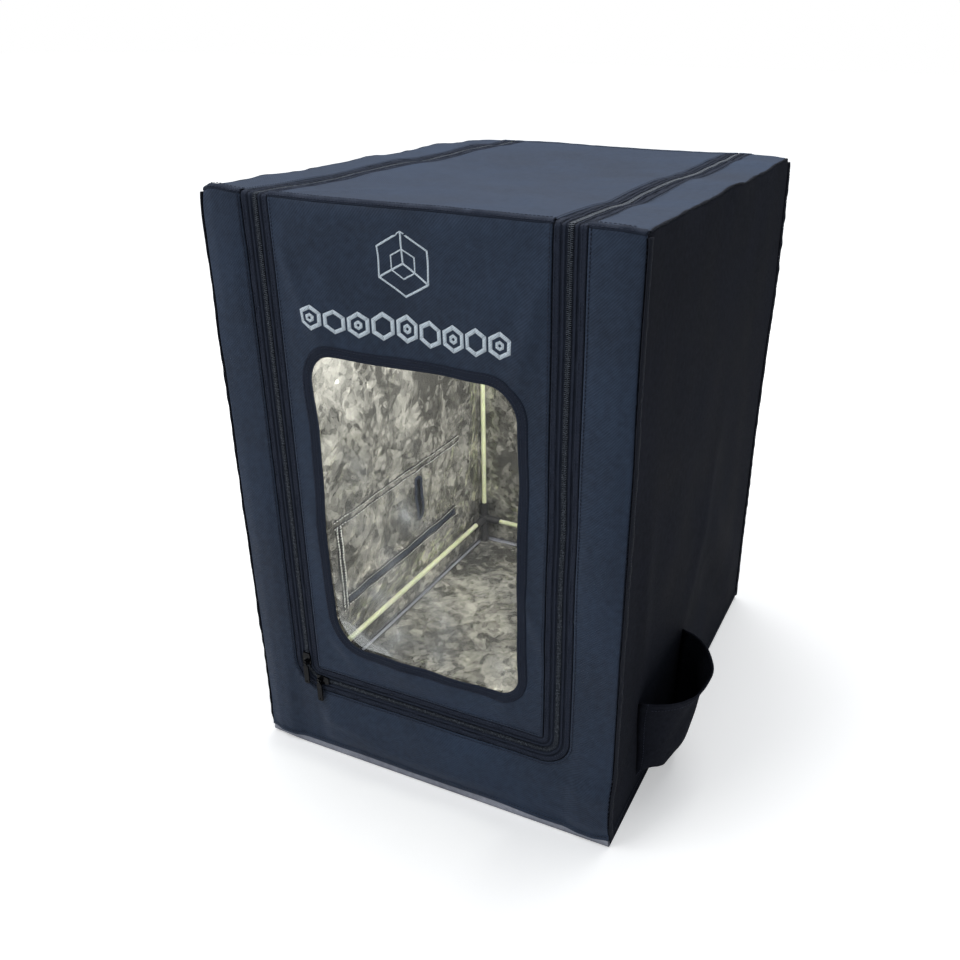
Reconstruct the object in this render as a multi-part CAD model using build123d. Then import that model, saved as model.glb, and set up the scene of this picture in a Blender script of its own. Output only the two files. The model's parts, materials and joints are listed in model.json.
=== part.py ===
"""Printer enclosure tent: a sewn, foil-lined cover over a frame of thin rods.

Millimetres, +Z up. The origin is the centre of the footprint, on the surface that the tent stands on.
The front, with the window, faces -Y. Each sewn panel, rod, connector, zip part and flap is its own node.

The cover is layered from outside to inside: cloth, then zip tape or window sheet, then foil lining, with a
small gap between layers. A zip runs up both sides of the front, over the front edge and back along the top,
and along the bottom of the front, so that front_flap and top_flap together open as one long panel.
"""

import os

from build123d import *

# Overall size of the cover, to the outer face of the cloth
WIDTH = 480.0
DEPTH = 600.0
HEIGHT = 700.0

# Layers of the cover
CLOTH = 1.2
TAPE = 0.6
LINING = 0.6
PANE = 0.5
GAP = 0.1
SEAM = 0.2  # gap between panels that meet at an edge

# Floor tray: the floor panel turns up all round to this height, where it is sewn to the walls
TRAY_HEIGHT = 12.0
TRAY_RADIUS = 6.0

# Piping cord along the sewn edges. Its centre stands off both outer faces.
CORD_RADIUS = 1.3
CORD_OFFSET = 1.0
HEM_OFFSET = CORD_RADIUS + GAP

# Zip: the line where the two rows of teeth meet
ZIP_X = 170.0
ZIP_Z = 114.0
ZIP_CORNER = 20.0
TEETH_GAP = 0.4  # from that line to each row of teeth
TEETH_WIDTH = 3.0
TEETH_DEPTH = 2.4
TAPE_START = 3.5  # the tape begins just beyond the teeth
TAPE_END = 21.0
CLOTH_START = 17.0  # the cloth covers the outer strip of the tape
LINING_START = 22.0
MIN_CORNER = 1.5

# Fold between front_flap and top_flap, and the hinge line at the rear
FLAP_CLEAR = 2.6  # front_flap stops this far below the top face
FOLD_CLEAR = 4.0  # zip and lining on top_flap start this far from the front and back faces
FLAP_SEAM = 1.0  # cloth of top_flap stops this far short of the front and back faces

# Window in front_flap
WINDOW_WIDTH = 245.0
WINDOW_BOTTOM = 175.0
WINDOW_TOP = 544.0
WINDOW_CORNER = 38.0
PANE_MARGIN = 10.0
BINDING_OUT = 9.0
BINDING_IN = 3.0
BINDING = 0.8

# Frame of fibreglass rods in push-on corner connectors
ROD_RADIUS = 4.0
BORE_RADIUS = 4.05
SOCKET_RADIUS = 7.0
SOCKET_LENGTH = 32.0  # from the centre of the connector
BORE_START = 9.0
ROD_START = 10.0
HUB = 16.0
HUB_FILLET = 3.0
FRAME_INSET = 11.5  # rod centre lines from the outer face
LOW_RING = 48.0  # height of the lower rods
FOOT_RADIUS = 8.0
FOOT_THICKNESS = 3.0
FRAME_X = WIDTH / 2 - FRAME_INSET
FRAME_Y = DEPTH / 2 - FRAME_INSET
FRAME_TOP = HEIGHT - FRAME_INSET

# Patch pocket on the right wall
POCKET_Y = -135.0
POCKET_HALF = 86.0
POCKET_HALF_LOW = 78.0
POCKET_BULGE = 62.0
POCKET_BULGE_LOW = 18.0
POCKET_TOP = 150.0
POCKET_BOTTOM = 34.0
POCKET_CLOTH = 1.5

# Cable slot in the left wall, under a flap with a hook-and-loop edge
SLOT_Y = 70.0
SLOT_WIDTH = 12.0
SLOT_HEIGHT = 66.0
SLOT_Z = 186.0
CABLE_FLAP_Y = 30.0
CABLE_FLAP_WIDTH = 320.0
CABLE_FLAP_TOP = 230.0
CABLE_FLAP_BOTTOM = 98.0
STRIP_HEIGHT = 16.0
STRIP_THICKNESS = 0.6
STRIP_MARGIN = 10.0
STRIP_RAISE = 2.0
BAND_HEIGHT = 10.0
BAND_GAP = 4.0

# Zip sliders and their pull tabs
SLIDER_LENGTH = 17.0
SLIDER_WIDE = 12.0
SLIDER_TAIL = 9.0
SLIDER_PLATE = 1.8
SLIDER_CLEAR = 0.4
SLIDER_BLADE = 0.4
BLADE_HALF = 3.0
BAR_RADIUS = 0.9
BAR_BACK = 4.0  # the bar sits this far from the middle, towards the wide end
BAR_STAND_OFF = 2.9  # from the slider's face to the centre of the bar
BAR_SPAN = 6.8
POST_THICKNESS = 1.2
PULL_EYE = 2.4
PULL_HOLE = 1.0
PULL_NECK = 3.4
PULL_WIDTH = 7.0
PULL_LENGTH = 31.0
PULL_THICKNESS = 1.6
PULL_SHOULDER = 5.0
SLIDER_LEFT_Z = ZIP_Z + ZIP_CORNER + 6.0
SLIDER_BOTTOM_X = -ZIP_X + ZIP_CORNER + 2.0

# Depths of the layers behind an outer face, and the faces themselves
TAPE_DEPTH = CLOTH + GAP
LINING_DEPTH = TAPE_DEPTH + TAPE + GAP
INNER_DEPTH = LINING_DEPTH + LINING
TEETH_START = TAPE_DEPTH + TAPE / 2 - TEETH_DEPTH / 2
FACE_X = WIDTH / 2
FACE_Y = DEPTH / 2
FLAP_TOP = HEIGHT - FLAP_CLEAR
FLOOR_TOP = CLOTH + SEAM + LINING


def block(low, high):
    """A box between two opposite corners."""
    size = [b - a for a, b in zip(low, high)]
    centre = [(a + b) / 2 for a, b in zip(low, high)]
    return Pos(*centre) * Box(*size)


def front_slab(outline, depth, thickness):
    """An outline in X and Z, as a sheet that starts `depth` behind the front face."""
    back = Plane.XZ.offset(FACE_Y - depth - thickness)
    return extrude(back * outline, amount=thickness)


def rod_along(direction, radius, start, length):
    """A cylinder that starts at a point and runs along a direction."""
    return Plane(origin=start, z_dir=direction) * Cylinder(
        radius, length, align=(Align.CENTER, Align.CENTER, Align.MIN)
    )


def rounded(width, bottom, top, radius):
    """A rectangle in X and Z, centred in X, with all corners rounded."""
    shape = Pos(0, (bottom + top) / 2) * Rectangle(width, top - bottom)
    return fillet(shape.vertices(), radius)


def door(inset, top):
    """The region inside the zip line, moved inwards by `inset`, with rounded lower corners."""
    half = ZIP_X - inset
    bottom = ZIP_Z + inset
    shape = Pos(0, (bottom + top) / 2) * Rectangle(2 * half, top - bottom)
    lower = shape.vertices().sort_by(Axis.Y)[:2]
    return fillet(lower, max(ZIP_CORNER - inset, MIN_CORNER))


def door_ring(outer, inner, top):
    """The U-shaped strip between two insets of the zip line."""
    return door(outer, top) - door(inner, top + 1)


def window(margin):
    """The window's outline, made larger by `margin`."""
    return rounded(
        WINDOW_WIDTH + 2 * margin,
        WINDOW_BOTTOM - margin,
        WINDOW_TOP + margin,
        WINDOW_CORNER + margin,
    )


def make_connector(side_x, side_y, level):
    """A three-way corner connector. The lower ones also stand on a foot."""
    centre = Vector(side_x * FRAME_X, side_y * FRAME_Y, level)
    lower = level < HEIGHT / 2
    directions = [(-side_x, 0, 0), (0, -side_y, 0), (0, 0, 1 if lower else -1)]
    body = Pos(*centre) * fillet(Box(HUB, HUB, HUB).edges(), HUB_FILLET)
    for direction in directions:
        body += rod_along(direction, SOCKET_RADIUS, centre, SOCKET_LENGTH)
    if lower:
        foot = (centre.X, centre.Y, FLOOR_TOP + SEAM)
        body += rod_along((0, 0, 1), SOCKET_RADIUS, foot, level - FLOOR_TOP - SEAM)
        body += rod_along((0, 0, 1), FOOT_RADIUS, foot, FOOT_THICKNESS)
    for direction in directions:
        mouth = centre + Vector(*direction) * BORE_START
        body -= rod_along(direction, BORE_RADIUS, mouth, SOCKET_LENGTH)
    return body


def make_frame():
    """Twelve rods and eight corner connectors."""
    nodes = {}
    for side_y, end in ((-1, "front"), (1, "back")):
        for side_x, side in ((-1, "left"), (1, "right")):
            x, y = side_x * FRAME_X, side_y * FRAME_Y
            low = (x, y, LOW_RING + ROD_START)
            length = FRAME_TOP - LOW_RING - 2 * ROD_START
            nodes[f"post_{end}_{side}"] = rod_along((0, 0, 1), ROD_RADIUS, low, length)
            for level, z in (("bottom", LOW_RING), ("top", FRAME_TOP)):
                nodes[f"connector_{level}_{end}_{side}"] = make_connector(side_x, side_y, z)
    for level, z in (("bottom", LOW_RING), ("top", FRAME_TOP)):
        for side_y, end in ((-1, "front"), (1, "back")):
            start = (-FRAME_X + ROD_START, side_y * FRAME_Y, z)
            length = 2 * (FRAME_X - ROD_START)
            nodes[f"rail_{level}_{end}"] = rod_along((1, 0, 0), ROD_RADIUS, start, length)
        for side_x, side in ((-1, "left"), (1, "right")):
            start = (side_x * FRAME_X, -FRAME_Y + ROD_START, z)
            length = 2 * (FRAME_Y - ROD_START)
            nodes[f"rail_{level}_{side}"] = rod_along((0, 1, 0), ROD_RADIUS, start, length)
    return nodes


def make_floor_tray():
    """The floor panel with its turned-up edge."""
    edge = Pos(0, 0, TRAY_HEIGHT / 2) * Box(WIDTH, DEPTH, TRAY_HEIGHT)
    tray = fillet(edge.edges().group_by(Axis.Z)[0], TRAY_RADIUS)
    inside = block(
        (-FACE_X + CLOTH, -FACE_Y + CLOTH, CLOTH),
        (FACE_X - CLOTH, FACE_Y - CLOTH, TRAY_HEIGHT + 1),
    )
    return tray - fillet(inside.edges().group_by(Axis.Z)[0], TRAY_RADIUS - CLOTH)


def cable_slot(x_low, x_high):
    """The upright cable slot as a solid to cut away, with round ends."""
    outline = SlotOverall(SLOT_HEIGHT, SLOT_WIDTH)
    plane = Plane(origin=(x_low, SLOT_Y, SLOT_Z), x_dir=(0, 0, 1), z_dir=(1, 0, 0))
    return extrude(plane * outline, amount=x_high - x_low)


def make_walls():
    """The cloth panels that don't open."""
    low, top = TRAY_HEIGHT + SEAM, HEIGHT - CLOTH - SEAM
    y_end = FACE_Y - CLOTH - SEAM
    left = block((-FACE_X, -y_end, low), (-FACE_X + CLOTH, y_end, top))
    surround = Pos(0, (low + top) / 2) * Rectangle(WIDTH, top - low) - door(-CLOTH_START, top + 1)
    strip_x = ZIP_X + CLOTH_START
    return {
        "floor_panel": make_floor_tray(),
        "wall_left": left - cable_slot(-FACE_X - 1, -FACE_X + CLOTH + 1),
        "wall_right": block((FACE_X - CLOTH, -y_end, low), (FACE_X, y_end, top)),
        "wall_back": block((-FACE_X, FACE_Y - CLOTH, low), (FACE_X, FACE_Y, top)),
        "front_surround": front_slab(surround, 0, CLOTH),
        "top_strip_left": block((-FACE_X, -FACE_Y, HEIGHT - CLOTH), (-strip_x, FACE_Y, HEIGHT)),
        "top_strip_right": block((strip_x, -FACE_Y, HEIGHT - CLOTH), (FACE_X, FACE_Y, HEIGHT)),
    }


def make_linings():
    """The foil sheets inside the panels that don't open."""
    near, far = INNER_DEPTH, LINING_DEPTH
    low, top = TRAY_RADIUS, HEIGHT - near - SEAM
    y_end = FACE_Y - near - SEAM
    x_end = FACE_X - CLOTH - SEAM
    left = block((-FACE_X + far, -y_end, low), (-FACE_X + near, y_end, top))
    surround = Pos(0, (low + top) / 2) * Rectangle(2 * x_end, top - low) - door(
        -LINING_START, top + 1
    )
    strip_x = ZIP_X + LINING_START
    strip_y = FACE_Y - CLOTH - SEAM
    strips = [
        block((x, -strip_y, HEIGHT - near), (x + x_end - strip_x, strip_y, HEIGHT - far))
        for x in (-x_end, strip_x)
    ]
    return {
        "lining_left": left - cable_slot(-FACE_X, -FACE_X + near + 1),
        "lining_right": block((FACE_X - near, -y_end, low), (FACE_X - far, y_end, top)),
        "lining_back": block((-x_end, FACE_Y - near, low), (x_end, FACE_Y - far, top)),
        "lining_floor": block(
            (-x_end + TRAY_RADIUS, -strip_y + TRAY_RADIUS, CLOTH + SEAM),
            (x_end - TRAY_RADIUS, strip_y - TRAY_RADIUS, FLOOR_TOP),
        ),
        "lining_front": front_slab(surround, far, LINING),
        "lining_top_strips": Compound(strips),
    }


def make_piping():
    """Cords along the sewn edges, as groups of separate straight solids."""
    x, y, z = FACE_X + CORD_OFFSET, FACE_Y + CORD_OFFSET, HEIGHT + CORD_OFFSET
    hem_z = TRAY_HEIGHT + SEAM / 2
    clear = 2 * CORD_RADIUS
    low, high = hem_z + clear, z - 2 * clear
    vertical = [
        rod_along((0, 0, 1), CORD_RADIUS, (sx * x, sy * y, low), high - low)
        for sx in (-1, 1)
        for sy in (-1, 1)
    ]
    sides = [
        rod_along((0, 1, 0), CORD_RADIUS, (sx * x, -y + clear, z), 2 * (y - clear)) for sx in (-1, 1)
    ]
    back_z = HEIGHT - CORD_RADIUS
    back = rod_along(
        (1, 0, 0), CORD_RADIUS, (-x + clear, FACE_Y + HEM_OFFSET, back_z), 2 * (x - clear)
    )
    start = ZIP_X + CLOTH_START + GAP
    fronts = [
        rod_along((sx, 0, 0), CORD_RADIUS, (sx * start, -y, z), x - clear - start) for sx in (-1, 1)
    ]
    hem_x, hem_y = FACE_X + HEM_OFFSET, FACE_Y + HEM_OFFSET
    hem = [
        rod_along((1, 0, 0), CORD_RADIUS, (-FACE_X, sy * hem_y, hem_z), WIDTH) for sy in (-1, 1)
    ]
    hem += [
        rod_along((0, 1, 0), CORD_RADIUS, (sx * hem_x, -FACE_Y, hem_z), DEPTH) for sx in (-1, 1)
    ]
    return {
        "piping_vertical": Compound(vertical),
        "piping_top": Compound(sides + [back] + fronts),
        "piping_hem": Compound(hem),
    }


def pocket_profile(half, bulge, z):
    """Half an ellipse that stands out from the right wall, as a closed face at height z."""
    plane = Plane(origin=(FACE_X + GAP, POCKET_Y, z), x_dir=(1, 0, 0), z_dir=(0, 0, 1))
    outline = Ellipse(bulge, half) & Pos(bulge, 0) * Rectangle(2 * bulge, 2 * half)
    return plane * outline


def make_pocket():
    """A patch pocket that bags out at its open top. The wall is its back."""
    outer = loft(
        [
            pocket_profile(POCKET_HALF_LOW, POCKET_BULGE_LOW, POCKET_BOTTOM),
            pocket_profile(POCKET_HALF, POCKET_BULGE, POCKET_TOP),
        ]
    )
    inner = loft(
        [
            pocket_profile(
                POCKET_HALF_LOW - POCKET_CLOTH,
                POCKET_BULGE_LOW - POCKET_CLOTH,
                POCKET_BOTTOM + POCKET_CLOTH,
            ),
            pocket_profile(POCKET_HALF - POCKET_CLOTH, POCKET_BULGE - POCKET_CLOTH, POCKET_TOP),
        ]
    )
    mouth = pocket_profile(POCKET_HALF - POCKET_CLOTH, POCKET_BULGE - POCKET_CLOTH, POCKET_TOP)
    return outer - inner - extrude(mouth, amount=1)


def make_cable_flap():
    """The flap over the cable slot, its hook-and-loop strips, and the band it is sewn on with."""
    y_low, y_high = CABLE_FLAP_Y - CABLE_FLAP_WIDTH / 2, CABLE_FLAP_Y + CABLE_FLAP_WIDTH / 2
    strip_x = FACE_X + GAP / 2
    flap_x = strip_x + 2 * STRIP_THICKNESS + GAP
    low = CABLE_FLAP_BOTTOM + STRIP_RAISE

    def strip(x):
        return block(
            (-x - STRIP_THICKNESS, y_low + STRIP_MARGIN, low),
            (-x, y_high - STRIP_MARGIN, low + STRIP_HEIGHT),
        )

    band_z = CABLE_FLAP_TOP + BAND_GAP
    return {
        "cable_flap": block(
            (-flap_x - CLOTH, y_low, CABLE_FLAP_BOTTOM), (-flap_x, y_high, CABLE_FLAP_TOP)
        ),
        "cable_loop_strip": strip(strip_x + STRIP_THICKNESS + GAP / 2),
        "cable_hook_strip": strip(strip_x),
        "cable_flap_band": block(
            (-strip_x - CLOTH, y_low, band_z), (-strip_x, y_high, band_z + BAND_HEIGHT)
        ),
    }


def zip_over_top(start, end, depth, thickness):
    """A left and a right strip of the zip along the top, on the far side of the zip line."""
    top = HEIGHT - depth
    y_end = FACE_Y - FOLD_CLEAR
    return [
        block((a, -FACE_Y + depth, top - thickness), (b, y_end, top))
        for a, b in ((-ZIP_X - end, -ZIP_X - start), (ZIP_X + start, ZIP_X + end))
    ]


def make_fixed_zip():
    """The half of the zip that is sewn to the fixed cover: a U in front that runs on over the top."""
    top = HEIGHT - TEETH_START
    tape = front_slab(door_ring(-TAPE_END, -TAPE_START, HEIGHT - TAPE_DEPTH), TAPE_DEPTH, TAPE)
    teeth_outline = door_ring(-TEETH_GAP - TEETH_WIDTH, -TEETH_GAP, top)
    teeth = front_slab(teeth_outline, TEETH_START, TEETH_DEPTH)
    for strip in zip_over_top(TAPE_START, TAPE_END, TAPE_DEPTH, TAPE):
        tape += strip
    for strip in zip_over_top(TEETH_GAP, TEETH_GAP + TEETH_WIDTH, TEETH_START, TEETH_DEPTH):
        teeth += strip
    return {"zip_tape_fixed": tape, "zip_teeth_fixed": teeth}


def make_front_flap():
    """The door: cloth, lining, clear window with its binding, and its half of the zip."""
    tape = door_ring(TAPE_START, TAPE_END, FLAP_TOP)
    teeth = door_ring(TEETH_GAP, TEETH_GAP + TEETH_WIDTH, FLAP_TOP)
    return {
        "front_flap": front_slab(door(CLOTH_START, FLAP_TOP) - window(0), 0, CLOTH),
        "front_flap_lining": front_slab(
            door(LINING_START, FLAP_TOP) - window(0), LINING_DEPTH, LINING
        ),
        "window_pane": front_slab(window(PANE_MARGIN), TAPE_DEPTH, PANE),
        "window_binding": front_slab(
            window(BINDING_OUT) - window(-BINDING_IN), -BINDING - GAP, BINDING
        ),
        "zip_tape_front": front_slab(tape, TAPE_DEPTH, TAPE),
        "zip_teeth_front": front_slab(teeth, TEETH_START, TEETH_DEPTH),
    }


def make_top_flap():
    """The top panel that opens: cloth, lining, its half of the zip and the cord along the fold."""
    cloth_x, lining_x = ZIP_X - CLOTH_START, ZIP_X - LINING_START
    cloth_y, lining_y = FACE_Y - FLAP_SEAM, FACE_Y - FOLD_CLEAR
    tape_top, teeth_top = HEIGHT - TAPE_DEPTH, HEIGHT - TEETH_START

    def pair(start, end, top, thickness):
        return Compound(
            [
                block((a, -lining_y, top - thickness), (b, lining_y, top))
                for a, b in ((-ZIP_X + start, -ZIP_X + end), (ZIP_X - end, ZIP_X - start))
            ]
        )

    fold = (-cloth_x, -FACE_Y - CORD_OFFSET, HEIGHT + CORD_OFFSET)
    return {
        "top_flap": block(
            (-cloth_x, -cloth_y, HEIGHT - CLOTH), (cloth_x, cloth_y, HEIGHT)
        ),
        "top_flap_lining": block(
            (-lining_x, -lining_y, HEIGHT - INNER_DEPTH), (lining_x, lining_y, HEIGHT - LINING_DEPTH)
        ),
        "zip_tape_top": pair(TAPE_START, TAPE_END, tape_top, TAPE),
        "zip_teeth_top": pair(TEETH_GAP, TEETH_GAP + TEETH_WIDTH, teeth_top, TEETH_DEPTH),
        "piping_fold": rod_along((1, 0, 0), CORD_RADIUS, fold, 2 * cloth_x),
    }


def make_slider(flap_side, bar_along_travel):
    """A zip slider at the origin: +Z is its travel, -Y its face, and the teeth meet at X = 0.

    A thin blade passes between the two rows of teeth to a half plate behind the flap's row, so that the
    slider can leave with the flap.
    """
    face = TEETH_START + TEETH_DEPTH
    front_y = -SLIDER_CLEAR
    back_y = face - TEETH_START + SLIDER_CLEAR
    half = SLIDER_LENGTH / 2
    shoulder, tail = SLIDER_WIDE / 2, SLIDER_TAIL / 2
    outline = Polygon(
        (-shoulder, -half), (shoulder, -half), (shoulder, 0), (tail, half), (-tail, half), (-shoulder, 0),
        align=None,
    )
    outline = fillet(outline.vertices(), MIN_CORNER)
    plate = extrude(Plane.XZ.offset(-front_y) * outline, amount=SLIDER_PLATE)
    blade = block(
        (-SLIDER_BLADE / 2, front_y, -BLADE_HALF), (SLIDER_BLADE / 2, back_y, BLADE_HALF)
    )
    inner, outer = sorted((-flap_side * SLIDER_BLADE / 2, flap_side * tail))
    rear = block((inner, back_y, -BLADE_HALF), (outer, back_y + SLIDER_PLATE, half - MIN_CORNER))
    bar_y = front_y - SLIDER_PLATE - BAR_STAND_OFF
    offset = BAR_SPAN / 2 - POST_THICKNESS / 2
    direction = Vector(0, 0, 1) if bar_along_travel else Vector(1, 0, 0)
    start = Vector(0, bar_y, -BAR_BACK) - direction * (BAR_SPAN / 2)
    body = plate + blade + rear + rod_along(direction, BAR_RADIUS, start, BAR_SPAN)
    post_y = (bar_y + front_y - SLIDER_PLATE) / 2
    for sign in (-1, 1):
        centre = Vector(0, post_y, -BAR_BACK) + direction * (sign * offset)
        size = (POST_THICKNESS, BAR_STAND_OFF + BAR_RADIUS, 2 * BAR_RADIUS)
        if bar_along_travel:
            size = (size[2], size[1], size[0])
        body += Pos(*centre) * Box(*size)
    return body


def make_pull():
    """A pull tab that hangs from a bar along X through the origin."""
    eye = rod_along((1, 0, 0), PULL_EYE, (-PULL_NECK / 2, 0, 0), PULL_NECK)
    neck = block(
        (-PULL_NECK / 2, -PULL_THICKNESS / 2, -PULL_SHOULDER - 1), (PULL_NECK / 2, PULL_THICKNESS / 2, 0)
    )
    outline = Pos(0, -(PULL_SHOULDER + PULL_LENGTH) / 2) * Rectangle(
        PULL_WIDTH, PULL_LENGTH - PULL_SHOULDER
    )
    outline = fillet(outline.vertices(), MIN_CORNER)
    outline -= Pos(0, -PULL_LENGTH + 2 * MIN_CORNER) * Circle(PULL_HOLE)
    tab = extrude(Plane.XZ.offset(-PULL_THICKNESS / 2) * outline, amount=PULL_THICKNESS)
    return eye + neck + tab - rod_along((1, 0, 0), PULL_HOLE, (-PULL_NECK, 0, 0), 2 * PULL_NECK)


def make_sliders():
    """Both sliders where they meet at the lower left corner, each with its pull tab."""
    teeth_y = -FACE_Y + TEETH_START
    bar_y = teeth_y - SLIDER_CLEAR - SLIDER_PLATE - BAR_STAND_OFF
    left = Pos(-ZIP_X, teeth_y, SLIDER_LEFT_Z) * make_slider(1, False)
    turned = Rot(0, 90, 0) * make_slider(-1, True)
    bottom = Pos(SLIDER_BOTTOM_X, teeth_y, ZIP_Z) * turned
    return {
        "slider_left": left,
        "pull_left": Pos(-ZIP_X, bar_y, SLIDER_LEFT_Z - BAR_BACK) * make_pull(),
        "slider_bottom": bottom,
        "pull_bottom": Pos(SLIDER_BOTTOM_X - BAR_BACK, bar_y, ZIP_Z) * make_pull(),
    }


def make_nodes():
    """Every node of the enclosure, by name."""
    nodes = make_frame()
    for group in (
        make_walls,
        make_linings,
        make_piping,
        make_cable_flap,
        make_fixed_zip,
        make_front_flap,
        make_top_flap,
        make_sliders,
    ):
        nodes.update(group())
    nodes["pocket_right"] = make_pocket()
    return nodes


os.makedirs("parts", exist_ok=True)
for name, shape in make_nodes().items():
    export_step(shape, f"parts/{name}.step")
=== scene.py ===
"""Looks of the printer enclosure tent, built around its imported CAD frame.

Everything is in metres in the CAD model's frame: +Z is up and the front, with the window, faces -Y.

Each sewn panel is laid out flat on one side of the box, in a grid of (a, b) places and at a depth behind the
outer face. place_* functions put such a grid on its side, and slacken() then rounds the box's edges and gives
all layers the same sags and folds, so that cloth, zip, window and lining stay together.
"""

import json
import math

import bmesh
import bpy
import numpy as np
from mathutils import Euler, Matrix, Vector


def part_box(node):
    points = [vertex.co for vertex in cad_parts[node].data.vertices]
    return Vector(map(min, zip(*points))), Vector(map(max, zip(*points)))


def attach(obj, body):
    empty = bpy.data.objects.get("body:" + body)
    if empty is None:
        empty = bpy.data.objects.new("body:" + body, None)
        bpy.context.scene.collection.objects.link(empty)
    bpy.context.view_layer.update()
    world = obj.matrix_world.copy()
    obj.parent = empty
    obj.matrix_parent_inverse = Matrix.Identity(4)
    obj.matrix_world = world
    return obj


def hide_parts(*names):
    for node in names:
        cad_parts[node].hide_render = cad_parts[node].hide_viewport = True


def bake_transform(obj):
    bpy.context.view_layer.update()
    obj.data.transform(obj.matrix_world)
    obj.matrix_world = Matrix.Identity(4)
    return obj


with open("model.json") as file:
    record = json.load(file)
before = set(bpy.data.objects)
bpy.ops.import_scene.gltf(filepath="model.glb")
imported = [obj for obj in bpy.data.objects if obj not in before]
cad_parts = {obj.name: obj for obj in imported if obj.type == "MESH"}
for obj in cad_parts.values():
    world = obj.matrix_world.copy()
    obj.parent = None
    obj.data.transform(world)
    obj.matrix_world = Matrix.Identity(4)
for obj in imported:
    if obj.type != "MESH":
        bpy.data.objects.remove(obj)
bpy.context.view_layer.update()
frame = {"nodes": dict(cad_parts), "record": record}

MM = 0.001

# Sizes of the cover, from the CAD nodes
FACE_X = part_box("wall_right")[1].x
FACE_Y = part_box("wall_back")[1].y
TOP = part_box("top_strip_left")[1].z
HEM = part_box("front_surround")[0].z
CLOTH = FACE_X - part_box("wall_right")[0].x
LINING_DEPTH = FACE_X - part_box("lining_right")[1].x
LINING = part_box("lining_right")[1].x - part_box("lining_right")[0].x
ROD_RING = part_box("rail_bottom_left")[1].z
FLAP_LOW, FLAP_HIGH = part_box("cable_flap")

# Zip line: where the two rows of teeth meet
TEETH_GAP = 0.4 * MM
ZIP_X = -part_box("zip_teeth_front")[0].x + TEETH_GAP
ZIP_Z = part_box("zip_teeth_front")[0].z - TEETH_GAP
ZIP_CORNER = 20 * MM
ZIP_REAR = FACE_Y - 8 * MM
CLOTH_EDGE = ZIP_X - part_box("top_flap")[1].x
TAPE_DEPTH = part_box("zip_tape_front")[0].y + FACE_Y
TEETH_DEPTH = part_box("zip_teeth_front")[0].y + FACE_Y
TOOTH_PITCH = 1.9 * MM
LINING_MARGIN = 22 * MM  # from the zip line to the foil on either side

# Window opening, as (low a, high a, low b, high b)
PANE_MARGIN = 10 * MM
PANE_LOW, PANE_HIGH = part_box("window_pane")
WINDOW = (
    PANE_LOW.x + PANE_MARGIN,
    PANE_HIGH.x - PANE_MARGIN,
    PANE_LOW.z + PANE_MARGIN,
    PANE_HIGH.z - PANE_MARGIN,
)
# Corner radii: lower left, lower right, upper right, upper left
WINDOW_CORNERS = (44 * MM, 26 * MM, 40 * MM, 30 * MM)

# Upright cable slot in the left wall, with its ends in the same order
SLOT_Y, SLOT_Z = 70 * MM, 186 * MM
SLOT_WIDE, SLOT_TALL = 12 * MM, 66 * MM
SLOT = (SLOT_Y - SLOT_WIDE / 2, SLOT_Y + SLOT_WIDE / 2, SLOT_Z - SLOT_TALL / 2, SLOT_Z + SLOT_TALL / 2)

EDGE_RADIUS = 5 * MM  # of the box's edges in cloth
STEP = 5 * MM  # usual grid spacing of a panel
FOIL_STEP = 4 * MM
STITCH, STITCH_GAP, THREAD = 3.0 * MM, 1.0 * MM, 0.34 * MM
SLIDER_TOP = 0.64  # the sliders run no higher than this


# ---------------------------------------------------------------- shapes of numbers


def smooth(value, low, high):
    """0 below low, 1 above high, and a smooth step between."""
    t = np.clip((value - low) / (high - low), 0, 1)
    return t * t * (3 - 2 * t)


def hill(value, width):
    """1 at zero, fading to 0 either side."""
    return np.exp(-((value / width) ** 2))


def waves(a, b, size, seed):
    """Smooth random hills about `size` across, between roughly -1 and 1."""
    draw = np.random.default_rng(seed)
    total, count = np.zeros(np.shape(a)), 9
    for _ in range(count):
        angle, phase = draw.uniform(0, 2 * math.pi, 2)
        length = size * draw.uniform(0.7, 1.7)
        along = a * math.cos(angle) + b * math.sin(angle)
        total = total + np.cos(2 * math.pi * along / length + phase)
    return total / math.sqrt(count) / 1.4


def folds(a, b, ridges):
    """Soft ridges along lines in a panel. Each has a height and a width in mm, and its two ends."""
    total = 0
    for height, width, (a0, b0), (a1, b1) in ridges:
        da, db = a1 - a0, b1 - b0
        t = np.clip(((a - a0) * da + (b - b0) * db) / (da**2 + db**2), 0, 1)
        away = np.hypot(a - a0 - t * da, b - b0 - t * db)
        taper = np.sin(math.pi * np.clip(t, 0.03, 0.97)) ** 0.7
        total = total + height * MM * hill(away, width * MM) * taper
    return total


def box_distance(a, b, rect, corners):
    """Signed distance from a rectangle with its own radius at each corner, negative inside."""
    a0, a1, b0, b1 = rect
    low_left, low_right, high_right, high_left = corners
    x, y = a - (a0 + a1) / 2, b - (b0 + b1) / 2
    radius = np.where(y < 0, np.where(x < 0, low_left, low_right), np.where(x < 0, high_left, high_right))
    qx = np.abs(x) - (a1 - a0) / 2 + radius
    qy = np.abs(y) - (b1 - b0) / 2 + radius
    outside = np.hypot(np.maximum(qx, 0), np.maximum(qy, 0))
    return outside + np.minimum(np.maximum(qx, qy), 0) - radius


def door_distance(a, b, inset):
    """Signed distance from the region inside the zip line, moved inwards by `inset`."""
    radius = max(ZIP_CORNER - inset, 3 * MM)
    half = ZIP_X - inset
    return box_distance(a, b, (-half, half, ZIP_Z + inset, 3 * TOP), (radius,) * 4)


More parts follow.
